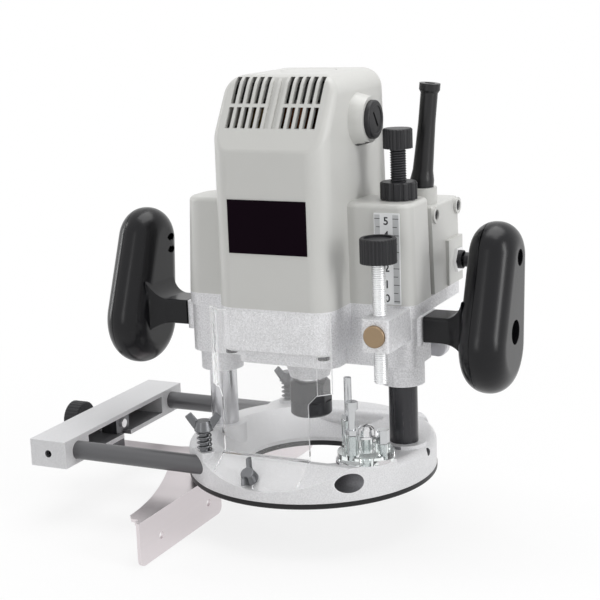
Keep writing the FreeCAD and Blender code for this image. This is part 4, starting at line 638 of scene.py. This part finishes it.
# ---- What each node shows ----
# Nodes whose own mesh is shown: finish
KEPT = {
    "armature_core": "lamination_iron", "armature_windings": "winding_copper",
    "commutator": "winding_copper", "stator_core": "lamination_iron", "field_coils": "winding_copper",
    "cooling_fan": "black_knob", "spindle_shaft": "bright_steel", "spindle_bearings": "bright_steel",
    "brush_holders": "bush_bronze", "brushes_and_springs": "brush_carbon", "plunge_bushes": "bush_bronze",
    "sub_base_screws": "dark_oxide", "column_set_screws": "dark_oxide", "guide_set_screws": "dark_oxide",
    "collet_cone": "bright_steel", "clamp_springs": "bolt_steel", "feed_screw": "zinc_thread",
    "fence_screw": "bright_steel",
}
# Nodes shown with eased edges: width of the easing, or 0 for sharp edges, and finish
EASED = {
    "base_casting": (0.7, "base_cast"), "sub_base_plate": (0.3, "base_bakelite"),
    "left_column": (0.3, "ground_steel"), "right_column": (0.3, "black_column"),
    "height_rod_cap": (0.2, "black_knob"), "nylon_nut": (0.3, "black_knob"),
    "turret_screw": (0.2, "bright_steel"), "turret_block": (0.3, "turret_clear"),
    "stop_bolts": (0.15, "stop_bolt_steel"), "chip_guard": (0.25, "chip_clear"),
    "motor_bracket": (0.8, "bracket_cast"), "motor_housing": (0.45, "grey_housing"),
    "switch_cover": (0.45, "grey_housing"), "label_plate": (0.15, "label_sheet"),
    "scale_plate": (0.12, "scale_sheet"), "switch_body": (0.3, "black_knob"),
    "switch_nut": (0.25, "bright_plate"),
    "cord_guard": (0.4, "cord_rubber"), "brush_caps": (0.25, "black_knob"),
    "housing_screws": (0.3, "dark_oxide"), "case_screws": (0.2, "dark_oxide"),
    "left_handle_inner": (0.3, "black_handle"), "left_handle_outer": (0.3, "black_handle"),
    "right_handle_inner": (0.3, "black_handle"), "right_handle_outer": (0.3, "black_handle"),
    "collet_nut": (0.4, "dark_oxide"), "pole_knob": (0.2, "black_knob"),
    "feed_button": (0.3, "button_bronze"),
    "guide_rods": (0.3, "guide_rod"), "guide_holder": (0.5, "holder_paint"),
    "fence_plate": (0, "plated_sheet"), "fence_bracket": (0.3, "bolt_steel"),
    "feed_knob": (0.2, "black_knob"),
}
# Small forgings and castings: finish, grain of the new skin, passes of smoothing
FORGED = {
    "guard_wing_bolt": ("bolt_steel", 0.28, 7), "front_clamp_bolt": ("bolt_steel", 0.28, 7),
    "rear_clamp_bolt": ("bolt_steel", 0.28, 7), "lock_lever": ("lever_zinc", 0.35, 8),
}


# ---- Pieces that need more than easing ----
def line_hollows(piece, finish, least, most):
    """A second, darker finish on faces that look across a hollow of the piece itself, least to most wide:
    painted shade in the hollow.
    """
    dress_faces(piece, finish, lambda face: least < look_across(piece, face, way=1, skip=0.2) < most)


def shape_housing(housing):
    """Soften the break of the sloping front, sink the ring on top, and paint the inside near-black as painted
    shade.
    """
    front, break_low, break_high, sharp = -30, 205, 217, 0.3

    def on_the_break(at, turn):
        return turn > sharp and at.y < front and break_low < at.z < break_high

    bevel_edges(housing, on_the_break, width=2.4, segments=4)
    top_ring = (0, 12, ends("motor_housing", 2)[1])
    sink_ring(housing, top_ring, radius=17.5, thickness=0.9, sides=10, turn=LEVEL)
    smooth(housing, angle=26)
    # Painted shade: the faces inside the housing are made near-black
    line_hollows(housing, "housing_inside_painted_shade", least=5, most=110)


def shape_caps(caps):
    """A ring groove round the slotted middle of each brush cap."""
    _, y, z = middle("brush_caps")
    outside = ends("brush_caps", 0)[1]
    for x in (-outside, outside):
        sink_ring(caps, (x, y, z), radius=8.2, thickness=1.1, sides=12, turn=SIDEWAYS)
    smooth(caps, CREASE)


def shape_guard(guard):
    """Frosted sawn edges round the clear sheet."""
    past_the_sheet = 2.7
    dress_faces(guard, "guard_edge",
                lambda face: look_across(guard, face, way=-1, skip=0.1) > past_the_sheet)


def line_handle_seams():
    """A dark line of painted shade, with no reflection, where the two halves of each handle meet."""
    handle_thickness, seam_left_of_middle, half_seam = 29.0, 4.8, 0.33
    handle_middle = ends("right_handle_outer", 0)[1] - handle_thickness / 2
    for side, handle in (("left", -handle_middle), ("right", handle_middle)):
        seam = handle - seam_left_of_middle
        for half in ("_handle_inner", "_handle_outer"):
            dress_faces(EASED_PIECES[side + half], "seam_painted_shade",
                        lambda face: abs(face.center.x / MM - seam) < half_seam)


def make_number(number, place):
    """One number of the scale, a hair thick, facing forward."""
    text = start_from(bpy.ops.object.text_add, location=(0, 0, 0))
    text.data.body = str(number)
    text.data.size = 6.6 * MM
    text.data.extrude = 0.025 * MM
    text.data.offset = 0.13 * MM
    text.data.align_x = "CENTER"
    text.data.align_y = "CENTER"
    pick(text)
    bpy.ops.object.convert(target="MESH")
    figure = bpy.context.object
    figure.rotation_euler = UPRIGHT
    figure.location = Vector(place) * MM
    keep_place(figure)
    dress(figure, "scale_ink")
    return figure


def make_scale_print():
    """Ticks every 5 mm on two grey strips, and the numbers 0 to 5 between them."""
    left, right = ends("scale_plate", 0)
    front = ends("scale_plate", 1)[0]
    centre = middle("scale_plate")[0]
    zero = 118.5
    ticks, tick_step = 11, 5
    numbers, number_step = 6, 10
    margin, left_width, right_width = 0.5, 3.4, 3.8
    strip_height, strip_middle = 53.6, 25.6
    strip_face, ink_face = front - 0.015, front - 0.04
    short_by, numbers_left_of_centre = 1.0, 0.4
    tick = thin_plate((0, 0, 0), width=1, height=0.4, thickness=0.05, finish="scale_ink")
    strips, ink = [], []
    for start, width in ((left + margin, left_width), (right - margin - right_width, right_width)):
        strip_place = (start + width / 2, strip_face, zero + strip_middle)
        strips.append(thin_plate(strip_place, width, strip_height, thickness=0.03, finish="scale_edge"))
        for count in range(ticks):
            reach = width if count % 2 == 0 else width - short_by
            inner = start if start > centre else start + width - reach
            ink.append(copy_at(tick, (inner + reach / 2, ink_face, zero + count * tick_step), reach))
    bpy.data.objects.remove(tick)
    drawn_in = {0: 1.5, 5: -1.6}
    for number in range(numbers):
        height = zero + number * number_step + drawn_in.get(number, 0)
        ink.append(make_number(number, (centre - numbers_left_of_centre, ink_face, height)))
    scale_print = join("scale_print", strips + ink)
    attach(scale_print, NODE_BODY["scale_plate"])


def make_threads():
    threaded_rod("stop_pole_thread", "stop_pole", middle("stop_pole"),
                 crest=4.3, root=3.85, pitch=1.3, finish="zinc_thread")
    threaded_rod("height_rod_thread", "height_rod", middle("height_rod_cap"),
                 crest=4.9, root=4.15, pitch=1.5, finish="dark_oxide")


def make_toggle():
    """The switch lever with its rubber boot and tip."""
    lever = [(1.6, -3), (1.9, 3), (1.9, 13.3)]
    boot = [(4.6, 13.4), (4.7, 14.2), (4.2, 17.0), (3.2, 18.6), (2.6, 19.0)]
    tip = [(2.6, 20.6), (2.2, 21.4), (1.4, 21.6)]
    pivot_x = 73.5
    pivot = (pivot_x, middle("switch_nut")[1], middle("switch_nut")[2])
    toggle = turned_piece("toggle_boot", lever + boot + tip, "black_knob", pivot, SIDEWAYS)
    ease_edges(toggle, width=0.2, angle=30)
    smooth(toggle, angle=35)
    stand_for(toggle, "switch_toggle")


def make_plunge_spring():
    """The spring inside the left column, shown at rest with a mesh of its own; the real spring shortens as
    the motor unit goes down.
    """
    spring = eased_copy("plunge_spring", 0, "bright_steel")
    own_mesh(spring)


# ---- Camera, lamps and floor ----
CAMERA_TURN, CAMERA_TIP, CAMERA_ROLL = 25.55, 12.13, -2.04
CAMERA_TARGET = (0, 0, 0.11643)
CAMERA_DISTANCE = 0.9253
CAMERA_SENSOR, CAMERA_LENS = 36, 87.857
CAMERA_SHIFT = (-0.01265, -0.01533)
WHITE = (1, 1, 1, 1)
ROOM_LIGHT = 0.43
LAMP_TARGET = (0, 0, 0.12)
# Name, place, width and height, power
LAMPS = [
    ("top", (0.1, 0.3, 1.8), (1.4, 1.4), 21),
    ("right", (1.7, -0.35, 0.7), (0.4, 1.4), 13),
    ("left", (-1.7, -0.1, 0.55), (0.25, 1.3), 6.5),
    ("front", (-0.35, -1.8, 0.6), (0.2, 1.0), 3.4),
]
FLOOR_SIZE, FLOOR_GAP = 12, 0.0004
# The floor is whitened by this share near the object and wholly further out
FADE_NEAR, FADE_FAR, FADE_SHARE = 0.16, 0.55, 0.82


def set_camera():
    turn, tip, roll = (math.radians(angle) for angle in (CAMERA_TURN, CAMERA_TIP, CAMERA_ROLL))
    back = Vector((math.sin(turn) * math.cos(tip), -math.cos(turn) * math.cos(tip), math.sin(tip)))
    level = Vector((math.cos(turn), math.sin(turn), 0))
    rise = back.cross(level)
    right = level * math.cos(roll) + rise * math.sin(roll)
    up = rise * math.cos(roll) - level * math.sin(roll)
    place = Vector(CAMERA_TARGET) + back * CAMERA_DISTANCE
    optics = bpy.data.cameras.new("camera")
    optics.sensor_width = CAMERA_SENSOR
    optics.lens = CAMERA_LENS
    optics.shift_x, optics.shift_y = CAMERA_SHIFT
    optics.clip_start = 0.01
    camera = bpy.data.objects.new("camera", optics)
    bpy.context.scene.collection.objects.link(camera)
    camera.matrix_world = Matrix((
        (right.x, up.x, back.x, place.x), (right.y, up.y, back.y, place.y),
        (right.z, up.z, back.z, place.z), (0, 0, 0, 1)))
    bpy.context.scene.camera = camera


def add_lamp(name, place, size, power):
    light = bpy.data.lights.new(name, "AREA")
    light.shape = "RECTANGLE"
    light.size, light.size_y = size
    light.energy = power
    lamp = bpy.data.objects.new(name, light)
    bpy.context.scene.collection.objects.link(lamp)
    lamp.location = place
    lamp.rotation_euler = (Vector(LAMP_TARGET) - Vector(place)).to_track_quat("-Z", "Y").to_euler()


def set_studio():
    """A room that looks white and lights softly, with four lamps."""
    world = bpy.data.worlds.new("studio")
    bpy.context.scene.world = world
    world.use_nodes = True
    world.node_tree.nodes.clear()
    room = ShaderTree(world.node_tree)
    soft = room.node("ShaderNodeBackground", Color=WHITE, Strength=ROOM_LIGHT).outputs[0]
    bright = room.node("ShaderNodeBackground", Color=WHITE, Strength=1.0).outputs[0]
    room.node("ShaderNodeOutputWorld", Surface=room.mix_shaders(room.seen_directly(), soft, bright))
    for name, place, size, power in LAMPS:
        add_lamp(name, place, size, power)


def set_floor():
    """A pale floor that fades to the white room away from the object."""
    floor = start_from(bpy.ops.mesh.primitive_grid_add, x_subdivisions=4, y_subdivisions=4,
                       size=FLOOR_SIZE, location=(0, 0, frame_box[0][2] - FLOOR_GAP))
    floor.name = "floor"
    keep_place(floor)
    paint = Finish("pale_floor", (0.86, 0.86, 0.86), 0.9)
    glow = paint.node("ShaderNodeEmission").outputs[0]
    away = paint.node("ShaderNodeVectorMath", {"operation": "LENGTH"}, Vector=paint.place)
    fade = paint.node("ShaderNodeMapRange", {"interpolation_type": "SMOOTHSTEP"}, Value=away.outputs["Value"],
                      From_Min=FADE_NEAR, From_Max=FADE_FAR, To_Min=FADE_SHARE, To_Max=1.0)
    share = paint.maths("MULTIPLY", paint.seen_directly(), fade.outputs[0])
    surface = paint.tree.nodes["Material Output"].inputs["Surface"]
    paint.feed(surface, paint.mix_shaders(share, paint.shader.outputs[0], glow))
    dress(floor, "pale_floor")


# ---- The router ----
for node, finish in KEPT.items():
    dress(NODES[node], finish)
EASED_PIECES = {node: eased_copy(node, width, finish) for node, (width, finish) in EASED.items()}
for node, (finish, grain, passes) in FORGED.items():
    forged_copy(node, finish, grain, passes)
shape_housing(EASED_PIECES["motor_housing"])
shape_guard(EASED_PIECES["chip_guard"])
shape_caps(EASED_PIECES["brush_caps"])
# Painted shade: dark faces inside the bores of the base
line_hollows(EASED_PIECES["base_casting"], "bore_painted_shade", least=2, most=24)
# Painted shade: dark faces inside the channel of the guide holder
line_hollows(EASED_PIECES["guide_holder"], "holder_channel_painted_shade", least=2, most=20)
line_handle_seams()
make_scale_print()
make_threads()
make_toggle()
make_plunge_spring()

# ---- The studio ----
set_camera()
set_studio()
set_floor()
bpy.context.scene.view_settings.view_transform = "Standard"
bpy.ops.object.select_all(action="DESELECT")
